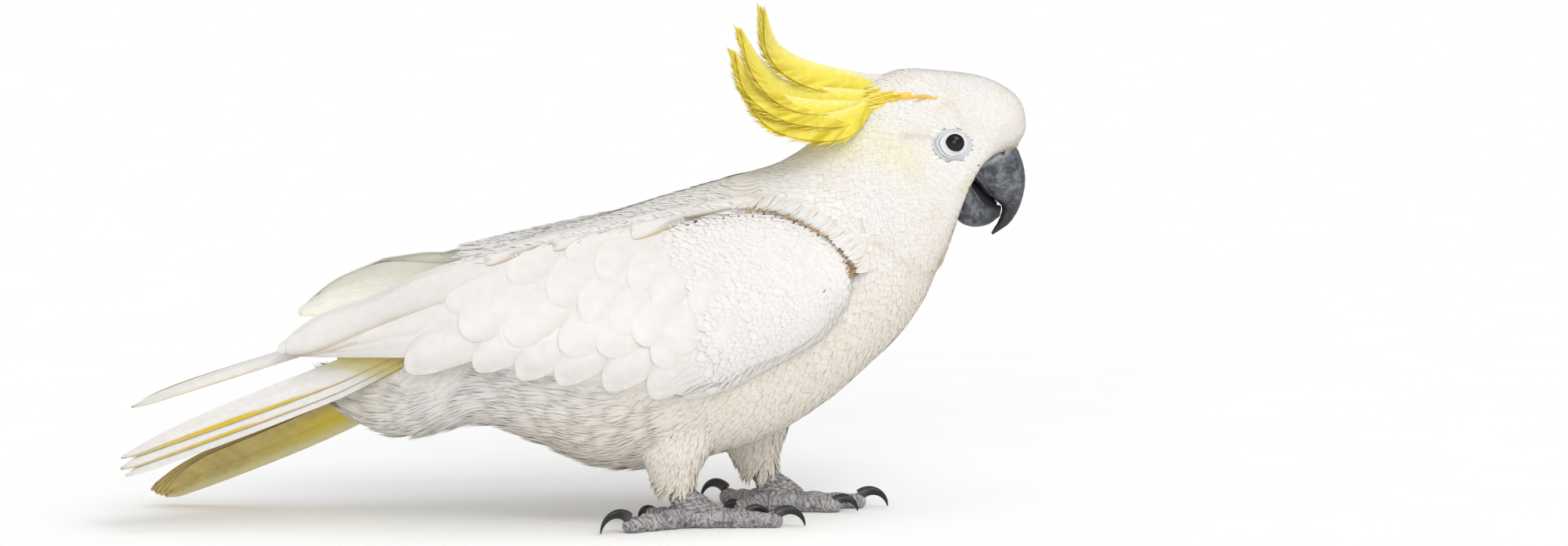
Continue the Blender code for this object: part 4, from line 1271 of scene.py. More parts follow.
def wing_vane(side, root, tip, width, base, cell, bow=0.05, tilt=0.22, climb=0.8, skew=0.0, warm=0.0,
              pointed=1.0, yellow=0.0):
    """A feather drawn in the wing's side view and lifted onto it.

    The shaft bows up between root and tip, and with skew the tip point drops to the lower edge. The lift
    climbs from root to tip, tilts from the lower edge to the upper one, is cupped between them and has a
    ridge at the shaft."""
    root, tip = np.asarray(root, float), np.asarray(tip, float)
    length = np.linalg.norm(tip - root)
    reach, share = net_of(1 - (1 - np.linspace(0, 1, 32)) ** 1.7, np.linspace(-1, 1, 11))
    heading = (tip - root) / length
    upward = np.array([-heading[1], heading[0]]) * np.sign(heading[0])
    half = vane_outline(reach, length, width, pointed)
    shaft = 0.12
    drop = skew * (width / 2 - half)
    off = (bow * length * np.sin(math.pi * reach) + share * half - drop)[..., None] * upward
    place = root + (tip - root) * reach[..., None] + off
    narrow = half / (width / 2)
    lift = base + climb * (reach - 1) + narrow * (tilt * share + 0.03 * width * (1 - share**2))
    lift = lift + 0.15 * hump(share, shaft, 0.07) * (1 - reach)
    slant = streaks(cell * 37 + reach * length * 0.35 - np.abs(share) * width * 0.3)
    lift = lift + 0.16 * (slant - 0.5) * np.abs(share) * narrow
    top = on_wing(side, *carried(side, place[..., 0], place[..., 1]), lift)
    rim = smooth(np.abs(share), 0.86, 1.0) + smooth(reach, 0.985, 1.0)
    # painted shade: each vane darker towards its root, where its neighbour covers it
    colour = WHITE * (0.955 + 0.05 * smooth(reach, 0.45, 0.95))[..., None]
    colour = mix(colour, CREAM, 0.35 * np.clip(rim, 0, 1))
    # darker along the streaks where the barbs part, and painted shade over the lower half
    colour = colour * (1 - 0.05 * slant * np.abs(share) - 0.05 * smooth(-share, 0.0, 1.0))[..., None]
    # amber along the lower edge: painted shade where the edge stands over the feathers below
    colour = mix(colour, AMBER_SHADE, warm * smooth(-share, 0.84, 0.98) * smooth(reach, 0.35, 0.6))
    # painted light: the far wing's underside is near white, standing in for light through its thin feathers;
    # the near wing's keeps a plain tone
    inner = paint(255, 255, 250) if side == "left" else paint(226, 224, 217)
    under = mix(inner, paint(244, 238, 176), yellow * (0.2 + 0.6 * smooth(-share, -0.2, 0.8)))
    return vane(top, -0.3 * SIDES[side], colour, under, cell, WING_CELLS)


def wing_row(side, stations, count, base, base_step, first_cell, **shape):
    """A row of vanes between stations of root (ahead, up), tip (ahead, up) and width."""
    rows = through(np.array(stations, float), count)
    rows += np.random.default_rng(first_cell).normal(0, 1, rows.shape) * (1.5, 0.8, 1.3, 1.0, 0.6)
    return [wing_vane(side, row[:2], row[2:4], row[4], base + base_step * k, first_cell + k, **shape)
            for k, row in enumerate(rows)]


# root ahead, root up, tip ahead, tip up, width
PRIMARIES = (
    (0, 101, -146, 93.0, 9), (-4, 108, -150, 93.5, 9), (-8, 116, -153, 94, 9), (-12, 126, -155, 94.5, 10),
)
TERTIALS = ((-6, 134, -149, 94.5, 17), (-10, 148, -153.5, 97, 22))
SECONDARIES = (
    (2, 114, -89, 92, 22), (32, 124, -48, 90, 23), (60, 124, -22, 86, 23), (86, 121, 6, 81.5, 24),
    (110, 116, 38, 78.5, 24),
)
GREATER_COVERTS = (
    (22, 152, -66, 120, 24), (34, 146, -57, 105, 24), (62, 140, -22, 101, 22), (84, 134, 6, 98, 23),
    (104, 128, 40, 92, 24),
)
MEDIAN_COVERTS = (
    (22, 158, -36, 134, 22), (36, 152, -12, 122, 22), (48, 146, 9, 110, 23), (62, 142, 25, 103.5, 23),
    (80, 136, 44, 99, 25), (104, 132, 70, 97, 25),
)
MARGINAL_COVERTS = (
    (36, 161, -4, 145, 19), (52, 156, 14, 133, 20), (70, 148, 36, 125, 20), (90, 144, 58, 118, 20),
)
SCAPULARS = (
    (28, 166, -48, 144.5, 17), (58, 175, -12, 152, 20), (88, 181, 26, 160.5, 21), (114, 183, 54, 167.5, 19),
)

SCAPULARS_LOWERED = {"right": 0, "left": 5}  # millimetres, so that the far ones don't rise over the back
WING_CELLS = 49  # of the map, more than one wing has feathers

for side in SIDES:
    long_ones = wing_row(side, PRIMARIES, 6, -2.8, 0.3, 0, bow=0.0, tilt=0.25, climb=0.5, skew=0.6,
                         pointed=2.5, yellow=0.5)
    vanes_piece(f"primary_feathers_{side}", long_ones, VANE, [f"primaries_{side}"])
    folded_ones = wing_row(side, TERTIALS, 2, -1.2, 1.0, 0, bow=0.03, tilt=0.2, climb=0.8, skew=0.5,
                           pointed=2.0, yellow=0.8, warm=0.35)
    folded_ones += wing_row(side, SECONDARIES, 6, -1.9, 0.05, 2, skew=0.3, pointed=1.5)
    folded_ones.append(wing_vane(side, (122, 108), (66, 76.5), 8, -1.6, 8, skew=0.4))
    for stations, count, base, base_step, first_cell in (
            (GREATER_COVERTS, 6, -1.0, 0.05, 9), (MEDIAN_COVERTS, 7, -0.4, 0.03, 15),
            (MARGINAL_COVERTS, 5, 0.0, 0.03, 22)):
        folded_ones += wing_row(side, stations, count, base, base_step, first_cell, pointed=1.2)
    lowered = SCAPULARS_LOWERED[side] * np.array([0, 1, 0, 1, 0])
    folded_ones += wing_row(side, SCAPULARS - lowered, 4, 0.4, 0.05, 28, warm=0.7, skew=0.6, pointed=2.2)
    vanes_piece(f"wing_feathers_{side}", folded_ones, VANE)


# %% The small coverts of the shoulder
def wing_chart(side):
    """The wing's outside as a chart: p from the shoulder back, q from the upper edge down."""
    rows = wing_rows(side, 100)
    down = np.linspace(0, 1, 60)[None, :]
    level = rows[:, 2:3] + (rows[:, 4:5] - rows[:, 2:3]) * down
    outer = wing_outside(rows, down)
    grid = np.stack([np.broadcast_to(rows[:, 0:1], level.shape), outer * SIDES[side], level], axis=-1)
    return chart_of(grid, False, np.array([0, SIDES[side], 0.0]))


def shoulder_spacing(points):
    """Close at the bend of the wing, opening until the rows of coverts take over."""
    back = 112 - points[..., 0] - 0.5 * (points[..., 2] - 130)
    return np.where(back > 72, 1e6, 1.9 + 0.02 * back.clip(0, 72))


for side in SIDES:
    chart = wing_chart(side)
    p, q = scatter(chart, shoulder_spacing, (0.03, 0.5), start=0.31)
    roots, _ = chart(p, q)
    count = len(p)
    back = smooth(112 - roots[:, 0] - 0.5 * (roots[:, 2] - 130), 0, 72)
    rim = 1 - 0.65 * np.maximum(smooth(-p, -0.09, -0.03), smooth(-q, -0.16, -0.02))
    length = (7 + 9 * back) * rim * dice.uniform(0.85, 1.15, count)
    width = (5 + 4 * back) * rim * dice.uniform(0.9, 1.1, count)
    rise = 0.2 + 0.08 * dice.uniform(0.0, 1.0, count) - 1.6 * smooth(back, 0.6, 0.95)
    backwards = lambda root: np.array([-1.0, 0.0, -0.22]) - np.array([0, 0, 0.5]) * smooth(
        -root[..., 2:3], -140, -100)
    blade = feathered(chart, p, q, length, width, dice.normal(0, 0.07, count), rise, (0.6, 1, 1, 0.85, 0.4),
                      dip=0.5 + 0.9 * back, lie=backwards)
    # painted shade: darker towards the back, to match the painted shade at the wing vanes' roots
    tint = WHITE * dice.normal(1, 0.01, (count, 1)).clip(0.96, 1.02) * (1 - 0.03 * back[:, None])
    coat_piece(f"shoulder_coverts_{side}", blade, mapped(p, q), tint)

# %% [markdown]
# ## The tail
#
# Twelve long feathers hang as a roof behind one ridge. Each is a vane on the roof's surface: how far back,
# how far out from the ridge, and how far off the roof. They are white above and yellow below, and the ones
# nearest the ridge have a dull yellow hem along their outer edge.

# %% The roof
TAIL_ROOT, TAIL_FALL = (-60, 118.8), math.radians(17)
TAIL_SLOPES = {"right": (0, 36, 37, 34), "left": (0, 54, 52, 40)}
TAIL_SLOPE_PLACES = (0, 11, 58, 95)
ROOT_STEEPER = 0.16
FEATHER_STEP = {"right": 1.35, "left": 0.8}
FEATHER_ROOTS = (4.5, 7, 9, 11, 12.5, 14)
FEATHER_TIPS = {"right": (7.5, 41, 47.5, 53, 50, 48), "left": (7.5, 74, 75, 76, 76, 76.5)}
FEATHER_SPLAY = 0.38
FEATHER_LENGTHS = {"right": (180, 184, 184, 181, 177, 172), "left": (178, 174, 172, 171, 169, 166)}
FEATHER_HALF_WIDTH = {"right": (7, 8.5, 8.5, 7.5, 7, 7), "left": (7, 9.5, 9.5, 9.5, 10, 12.5)}
TAPER_FROM = {"right": (0.45, 0.5, 0.55, 0.6, 0.6, 0.6), "left": (0.45, 0.8, 0.8, 0.8, 0.8, 0.82)}


def roof(side, back, outward, lift):
    """A point of the tail's roof. Walking outwards from the ridge, cosines and sines of the slope add up
    to the way sideways and down; the slope is a little steeper at the root."""
    walk = np.linspace(0, TAIL_SLOPE_PLACES[-1] + 10, 160)
    step = walk[1]
    steeper = 1 + ROOT_STEEPER * (1 - back[:, :1] / max(FEATHER_LENGTHS[side]))
    slope = np.radians(np.interp(walk, TAIL_SLOPE_PLACES, TAIL_SLOPES[side]))[None, :] * steeper
    sideways_sum = np.cumsum(np.cos(slope), axis=1) * step - step
    down_sum = np.cumsum(np.sin(slope), axis=1) * step - step * np.sin(slope[:, :1])
    place = np.clip(outward / step, 0, len(walk) - 1.001)
    low = place.astype(int)
    share = place - low

    def read(table):
        return (np.take_along_axis(table, low, axis=1) * (1 - share)
                + np.take_along_axis(table, low + 1, axis=1) * share)

    tipped = read(slope)
    sideways = read(sideways_sum) + lift * np.sin(tipped)
    down = read(down_sum) - lift * np.cos(tipped)
    ahead = TAIL_ROOT[0] - back * math.cos(TAIL_FALL)
    up = TAIL_ROOT[1] - back * math.sin(TAIL_FALL) - down
    return np.stack([ahead, sideways * SIDES[side], up], axis=-1)


def tail_feather(side, number):
    """A vane on the roof: its middle parts from the ridge quickly and then runs straight; streaks slant."""
    length = FEATHER_LENGTHS[side][number]
    reach, share = net_of(np.linspace(0, 1, 56), np.linspace(-1, 1, 13))
    root, tip = FEATHER_ROOTS[number], FEATHER_TIPS[side][number]
    centre = root + (tip - root) * reach ** (FEATHER_SPLAY if number else 1)
    full = np.interp(reach, (0, 0.35, 1), (0.35, 1, 1))
    ragged = 0.016 * (streaks(number * 31 + (share + 1) * 9) - 0.5)
    start = TAPER_FROM[side][number]
    taper = np.sqrt(np.clip(1 - (np.clip(reach - start + ragged, 0, 1) / (1.006 - start)) ** 2, 0.003, 1))
    round_tip = np.sqrt(np.clip(1 - (np.clip(reach - 0.93 + ragged, 0, 1) / 0.076) ** 2, 0.003, 1))
    half = FEATHER_HALF_WIDTH[side][number] * full
    inner = np.maximum(centre - half * (2 * np.minimum(taper, round_tip) - 1), 0.4)
    outer = centre + half * (1 - 0.5 * (1 - round_tip))
    inner = np.minimum(inner, outer - 0.3)
    outward = inner + (outer - inner) * (share + 1) / 2
    slant = streaks(number * 53 + reach * length * 0.5 - np.abs(share) * 4)
    lift = -number * FEATHER_STEP[side] - 0.1 + 0.25 * hump(share, 0, 0.07)
    lift = lift - 0.12 * slant * np.abs(share)
    lift = lift + 0.5 * (1 - share**2) * (1 - 0.5 * reach)
    top = roof(side, reach * length, outward, lift)
    hem_from = {0: 0.82, 1: 0.5, 2: 0.68}.get(number, 1.5)
    hem = smooth(share - 0.35 * smooth(-reach, -0.75, -0.35), hem_from, hem_from + 0.12)
    dull = mix(paint(208, 180, 52), paint(190, 180, 146), smooth(reach, 0.72, 0.98) * (0.6 + 0.4 * slant))
    colour = mix(WHITE, dull, hem * smooth(reach, 0.22, 0.45))
    seen = top[..., 2] + math.tan(CAMERA_RAISED) * top[..., 1]
    below_wing = 85.3 - 0.24 * (top[..., 0] + 114) - seen
    colour = mix(colour, LEMON, 0.7 * smooth(-below_wing, -12, -2) * (number > 0))
    # a deeper yellow just under the wing's edge: partly the tail root's own yellow, partly painted shade
    # under the wing
    root_yellow_and_shade = smooth(-below_wing, -2.5, -0.5) * hump(top[..., 0], -98, 24)
    colour = mix(colour, paint(246, 216, 116), 0.5 * root_yellow_and_shade * (number > 0))
    colour = mix(colour, paint(205, 196, 172), 0.5 * smooth(reach, 0.93, 1.0) * slant)
    colour = colour * (1 - 0.05 * slant * np.abs(share))[..., None]
    under = mix(paint(198, 180, 112), paint(176, 158, 96), slant)
    near_root = 0.9 * smooth(-reach, -0.75, -0.35)
    under = mix(under, paint(214, 194, 66), near_root * smooth(-np.abs(share), -0.9, -0.2))
    under = mix(under, paint(218, 212, 168), 0.75 * smooth(share, 0.25, 0.8))
    under = under * (1 - 0.10 * hump(share, 0, 0.05))[..., None]
    return vane(top, 0.45 * SIDES[side], colour, under, 0, 1)


for side in SIDES:
    for number in range(len(FEATHER_ROOTS)):
        vanes_piece(f"tail_vane_{side}_{number + 1}", [tail_feather(side, number)], TAIL_VANE,
                    [f"tail_feather_{side}_{number + 1}"])

# %% [markdown]
# ## The crest
#
# The crest is the bird's signature: long narrow plumes that sweep back from the crown and curl up at their
# tips, pale on the face that looks forward and deep sulphur where the barbs hang together below. Each is a
# vane carried along a curved line, turned so that its lower edge stands outwards, with loose barbs along
# that edge.

# %% Plumes
PLUMES = (
    ((166, 6, 229), (140, 9, 230), (117, 14, 236), (102, 21, 248), (97, 31, 270)),
    ((166, 11, 224), (143, 16, 221), (113, 21, 223), (95, 27, 237), (85, 30, 259)),
    ((168, 15, 221), (145, 20, 215), (112, 25, 217), (91, 29, 229), (82, 33, 247)),
    ((168, 18, 218), (146, 23, 211), (124, 26, 208), (101, 27, 213), (86, 28, 228)),
)
PLUME_WIDTH = (8, 15, 16, 12.5, 4)
ROOT_TUCK = (1, 2, 5, 9)  # how far each plume's root is drawn in under the feathers of the head
ROOT_LIFT = (0, 0, 2.5, 9.0)  # how far it is raised
ROOT_SLIMMER = (0.0, 0.2, 0.5, 0.75)  # the share of its width that it loses
BARBS_FROM = (0.01, 0.01, 0.01, 0.14)  # where its lower edge's loose barbs begin
PLUME_TILT = math.radians(32)
CREST_SPLAY = {"right": 1.2, "left": 0.82}
CREST_RAISE = {"right": 2, "left": -3}


def crest_line(side, number, count):
    """A plume's middle line, splayed and raised as its side of the crest is."""
    spine = through(PLUMES[number], count)
    reach = np.linspace(0, 1, count)
    spine[:, 1] -= ROOT_TUCK[number] * smooth(-reach, -0.34, -0.06)
    spine[:, 2] += ROOT_LIFT[number] * smooth(-reach, -0.38, -0.06)
    spine[:, 1] *= SIDES[side] * (1 + (CREST_SPLAY[side] - 1) * reach)
    spine[:, 2] += CREST_RAISE[side] * reach
    return spine, reach


def blade_axes(spine, tilt):
    """Along, deep and wide directions of a curved blade, turned by the tilt about its line."""
    along = unit(np.gradient(spine, axis=0))
    sideways = np.cross((0, 0, 1), spine[-1] - spine[0])
    sideways = unit(sideways - along * (sideways * along).sum(axis=1, keepdims=True))
    upright = np.cross(along, sideways)
    upright *= np.sign(upright[0, 2])
    deep = upright * math.cos(tilt) + sideways * math.sin(tilt)
    wide = sideways * math.cos(tilt) - upright * math.sin(tilt)
    return along, deep, wide


def crest_colour(share, slant, reach):
    """Pale along the upper edge, sulphur in the middle, gold between the barbs of the lower edge."""
    colour = mix(paint(240, 231, 138), paint(236, 220, 88), smooth(share, -1.0, -0.3))
    between = 1.1 * smooth(share, -0.4, 0.7) * smooth(slant, 0.3, 0.9)
    colour = mix(colour, paint(204, 178, 36), np.clip(between, 0, 1))
    return mix(colour, ROOT_YELLOW, 0.8 * smooth(-reach, -0.22, -0.05))


def loose_barbs(start, heading, length, width, facing, tint, root_uv):
    """Fine flat barbs that stand free of a vane's edge, as one part to join with the vane."""
    reach = np.array([0, 0.45, 0.9])
    spine = start[:, None] + heading[:, None] * (length[:, None] * reach)[..., None]
    across = unit(np.cross(facing, heading))[:, None] * (width / 2 * np.array([1, 0.8, 0.3]))[None, :, None]
    above = facing[:, None] * (0.06 * np.array([1, 1, 0.5]))[None, :, None]
    points, faces = blades(spine, across, above)
    table, sides = soft_facing(across, above, np.broadcast_to(facing[:, None], above.shape), 0, 0.1)
    count, each, _ = points.shape
    return (points.reshape(-1, 3), faces, tint.repeat(each, axis=0), np.zeros(count * each),
            patches(root_uv, len(reach)).reshape(-1, 2),
            corner_facing(faces, table, sides))


def crest_plume(side, number):
    """Vane and loose barbs of one plume. The barbs leave both edges and lean towards the tip."""
    spine, line_reach = crest_line(side, number, 150)
    along, deep, wide = blade_axes(spine, SIDES[side] * PLUME_TILT)
    half = through(np.array(PLUME_WIDTH, float)[:, None], 150)[:, 0] / 2
    half = half * np.sqrt(np.clip(1 - (np.clip(line_reach - 0.72, 0, 1) / 0.285) ** 2, 0.004, 1))
    half = half * (1 - ROOT_SLIMMER[number] * smooth(-line_reach, -0.36, -0.08))
    reach, share = net_of(line_reach, np.linspace(-1, 1, 15))
    length = np.linalg.norm(np.diff(spine, axis=0), axis=1).sum()
    drift = number * 71 + 40 * (side == "left") + reach * length * 0.42 - share * 4.2
    slant = 0.65 * streaks(drift) + 0.35 * streaks(drift * 2.3)
    hem = 1 + 0.10 * (slant - 0.5) * smooth(share, 0.2, 1.0)
    bulge = 1.3 * (1 - share**2) - 0.35 * slant * smooth(share, 0.0, 1.0)
    top = (spine[:, None] - deep[:, None] * (share * half[:, None] * hem)[..., None]
           + wide[:, None] * (bulge * (half[:, None] / 8))[..., None] * SIDES[side])
    colour = crest_colour(share, slant, reach)
    white_over = smooth(top[..., 2] - np.interp(top[..., 0], *np.transpose(YELLOW_HIGH)), -2, 1.5)
    colour = mix(colour, WHITE, white_over * smooth(top[..., 0] + 14 * (slant - 0.5), 132, 150))
    # the underside is the upper colour made 4% darker, as painted shade
    parts = [vane(top, -0.5 * SIDES[side], colour, colour * 0.96, 0, 1)]
    for edge, low_reach, count in ((1, BARBS_FROM[number], 520), (-1, 0.6, 80)):
        at = dice.uniform(low_reach, 0.99, count)
        inward = dice.uniform(0.1 if edge > 0 else 0.85, 1.0, count)
        row = (at * 149).astype(int)
        start = (spine[row] - deep[row] * (edge * inward * half[row])[:, None]
                 + wide[row] * SIDES[side] * (0.5 + 0.7 * (1 - inward**2) * half[row] / 8)[:, None])
        heading = unit(along[row] - deep[row] * (edge * dice.uniform(0.15, 0.4, count))[:, None])
        tint = crest_colour(edge * inward, dice.uniform(0, 1, count), at)
        long = dice.uniform(5.0, 10.0, count) * (1 - 0.5 * smooth(at, 0.5, 1.0)) * (1 if edge > 0 else 0.6)
        parts.append(loose_barbs(start, heading, long, 0.5, wide[row] * SIDES[side],
                                 tint, np.stack([0.05 + 0.9 * at, 0.75 + 0.2 * edge * inward], axis=-1)))
    return parts


for side in SIDES:
    for number in range(len(PLUMES)):
        vanes_piece(f"crest_vane_{side}_{number + 1}", crest_plume(side, number), CREST_VANE,
                    [f"crest_plume_{side}_{number + 1}"])

# %% [markdown]
# At their roots the plumes come out between the white feathers of the crown in a yellow streak that narrows
# to a line above the eye. Slim blades along the streak join the plumes to the head.


# %% Yellow roots of the crest
def crest_roots(side, tries=26000):
    """Blades rooted in the streak, drawn at random over the head and kept where the streak is."""
    p, q = dice.uniform(0.02, 0.5, tries), dice.uniform(0, 1, tries)
    roots, _ = body_chart(p, q)
    ahead, up = roots[:, 0], roots[:, 2]
    low, high = (np.interp(ahead, *np.transpose(edge)) for edge in (YELLOW_LOW, YELLOW_HIGH))
    inside = (up > low + 0.3) & (up < high - 0.3) & (ahead > 132) & (ahead < 194)
    inside &= roots[:, 1] * SIDES[side] > 4
    p, q, roots, low, high = p[inside], q[inside], roots[inside], low[inside], high[inside]
    count = len(p)
    place = (roots[:, 2] - low) / (high - low)
    slope = 0.10 + 0.55 * (1 - place) * smooth(-roots[:, 0], -172, -140)
    backwards = np.stack([-np.ones(count), np.zeros(count), -slope], axis=-1)
    blade = feathered(body_chart, p, q, dice.uniform(8, 13, count), dice.uniform(0.9, 1.5, count),
                      dice.normal(0, 0.05, count), dice.uniform(0.3, 1.6, count), (0.6, 1.0, 0.8, 0.12),
                      dip=0.6, lie=lambda roots: backwards)
    line = smooth(roots[:, 0], 158, 182)
    tint = mix(mix(paint(244, 232, 120), paint(214, 190, 48), dice.uniform(0, 1, count) ** 1.4),
               mix(paint(222, 160, 44), paint(236, 206, 84), place), 0.8 * line)
    coat_piece(f"crest_root_{side}", blade, mapped(p, q), tint)


for side in SIDES:
    crest_roots(side)

# %% [markdown]
# ## The bill
#
# The bill is living horn over bone: a deep hooked upper half, and a broad scoop below that it closes over.
# The horn is charcoal, dusted grey by powder from the plumage, and flakes pale along its edges. Both
# halves are rings between two outlines, as the head is, with growth ridges raised on them.

# %% Horn
# culmen point, cutting-edge point, half width
UPPER_BILL = np.array([
    (223, 199, 196, 182, 10.5), (229.8, 195.3, 204, 180.8, 12), (233, 188.5, 209.8, 176, 12),
    (234.6, 181, 213.2, 171.6, 11), (234.3, 173, 217.8, 168.3, 9), (231.6, 163.5, 222.4, 164.3, 6),
    (226.5, 155.3, 221.6, 158.3, 3.2), (217.8, 149.2, 217.1, 150.4, 0.7),
], float)
LOWER_BILL = np.array([
    (197, 181, 193, 161, 11), (204, 179, 198, 158.5, 13), (208.5, 174, 202, 155.3, 13.5),
    (213.5, 167.5, 208, 153.8, 13), (218.5, 165.5, 215, 155, 11), (222, 164.5, 221, 159, 7.5),
], float)
HORN, POWDER, HORN_EDGE = paint(60, 62, 67), paint(116, 120, 127), paint(36, 36, 39)
NOSTRIL = np.array([222.4, 9.5, 193.4])


def bill_half(name, stations, count, around, fullness, cutting_turn):
    """Rings with low growth ridges, powdered in the middle of each side and dark at the ridge and tip.

    The cutting edge runs along cutting_turn, the share of a whole turn from the ring's top."""
    rings = paired_rings(through(stations, count), around, fullness)
    reach = np.linspace(0, 1, count)[:, None]
    turn = np.arange(around)[None, :] / around
    outward = unit(rings - rings.mean(axis=1, keepdims=True))
    ridges = 0.16 * (streaks(reach * 46 + 3 * np.cos(2 * math.pi * turn)) - 0.5) * smooth(reach, 0.05, 0.3)
    rings = rings + outward * ridges[..., None]
    points, faces = closed_tube(rings)
    level = np.abs(np.sin(2 * math.pi * turn)) + 0 * reach
    dust = smooth(level, 0.1, 0.9) * (1 - 0.8 * smooth(reach, 0.45, 0.95))
    dust = dust * smooth(0.6 * cloud(rings, 3.2) + 0.4 * cloud(rings, 1.3, 5), 0.3, 0.75)
    tint = mix(HORN, POWDER, 0.85 * dust)
    vein = smooth(-np.abs(cloud(rings, 4.0, 9) - 0.5), -0.035, -0.005) * level
    tint = mix(tint, paint(160, 163, 169), 0.3 * vein * (1 - smooth(reach, 0.6, 0.9)))
    from_edge = np.abs(turn - cutting_turn)
    from_edge = np.minimum(from_edge, 1 - from_edge)
    rib = hump(from_edge, 0.105, 0.010) * smooth(reach, 0.12, 0.2)
    rib = rib * (1 - smooth(reach, 0.5, 0.62))
    tint = mix(tint, paint(172, 175, 180), 0.5 * rib * (0.3 + 0.9 * cloud(rings, 3.0, 21)).clip(0, 1))
    dark_vein = smooth(-np.abs(cloud(rings, 5.0, 3) - 0.5), -0.04, -0.005)
    tint = mix(tint, HORN_EDGE, 0.6 * dark_vein)
    tint = mix(tint, HORN_EDGE, 0.85 * smooth(reach, 0.5, 0.95) * np.ones_like(level))
    if name.startswith("upper"):
        cere = hump(reach, 0.11, 0.022) * (1 - 0.7 * smooth(-level, -0.5, -0.1))
        tint = mix(tint, paint(172, 174, 178), 0.75 * cere)
        away = np.linalg.norm((folded(rings) - NOSTRIL) * (1, 0.4, 1), axis=-1)
        tint = mix(tint, paint(150, 152, 156), 0.6 * hump(away, 2.2, 0.6))
        # the nostril is a near-black spot: painted shade of the opening, which is not modelled as a hole
        tint = mix(tint, paint(10, 10, 11), np.exp(-((away / 1.4) ** 4)))
    lip = hump(from_edge, 0, 0.035 if cutting_turn else 0.05)
    flakes = 0.45 * lip * (0.4 + streaks(reach * 60))
    tint = mix(tint, paint(150, 152, 156), flakes * smooth(-reach, -0.85, -0.5))
    new_piece(name, points, faces, BILL_HORN, with_poles(tint.reshape(-1, 3)),
              stands_for=[f"bill_{name.split('_')[0]}"])


bill_half("upper_bill_horn", UPPER_BILL, 90, 96, 0.9, 0.5)
bill_half("lower_bill_horn", LOWER_BILL, 60, 96, 0.75, 0.0)

# %% The mouth's dark lining, seen in the open gape
MOUTH = np.array([
    (205, 181, 203, 165, 9), (212, 174, 208, 162, 9.5), (217, 169, 214, 161, 8), (220, 166.5, 218, 162, 5),
], float)
points, faces = closed_tube(paired_rings(through(MOUTH, 16), 32, 0.9))
new_piece("mouth_lining", points, faces, BARE_SKIN, np.tile(paint(22, 20, 21), (len(points), 1)))

# %% [markdown]
# ## Eyes and the bare ring
#
# The eye is so dark that pupil and iris run together, wet and domed. Round it lies a ring of bare
# skin, bluish white and finely wrinkled, whose inner rim is the pair of lids. The eyeball is a full globe
# with a raised cornea; the ring is a surface that starts on the globe, rises over the lid's rim and runs
# out under the face feathers.

# %% Eyes
IRIS_RADIUS = 4.7


def globe(side):
    """A sphere with its pole outwards, swollen over the iris by a cosine hump."""
    theta, turn = net_of(np.linspace(0.03, math.pi - 0.03, 60), whole_turn(72))
    swell = 0.35 * smooth(-theta, -0.75, -0.1)
    radius = EYE_RADIUS + swell
    rings = np.stack([radius * np.sin(theta) * np.cos(turn), radius * np.cos(theta) * SIDES[side],
                      radius * np.sin(theta) * np.sin(turn)], axis=-1)
    centre = EYE * (1, SIDES[side], 1)
    points, faces = closed_tube(rings + centre)
    away = np.concatenate([theta.ravel(), [0, math.pi]])
    tint = mix(paint(6, 6, 6), paint(22, 16, 13), smooth(away, 0.30, 0.36) * 0.8)
    tint = mix(tint, paint(46, 42, 42), smooth(away, 0.72, 0.8))
    return new_piece(f"eyeball_{side}", points, faces, WET_EYE, tint, stands_for=[f"eye_{side}"])


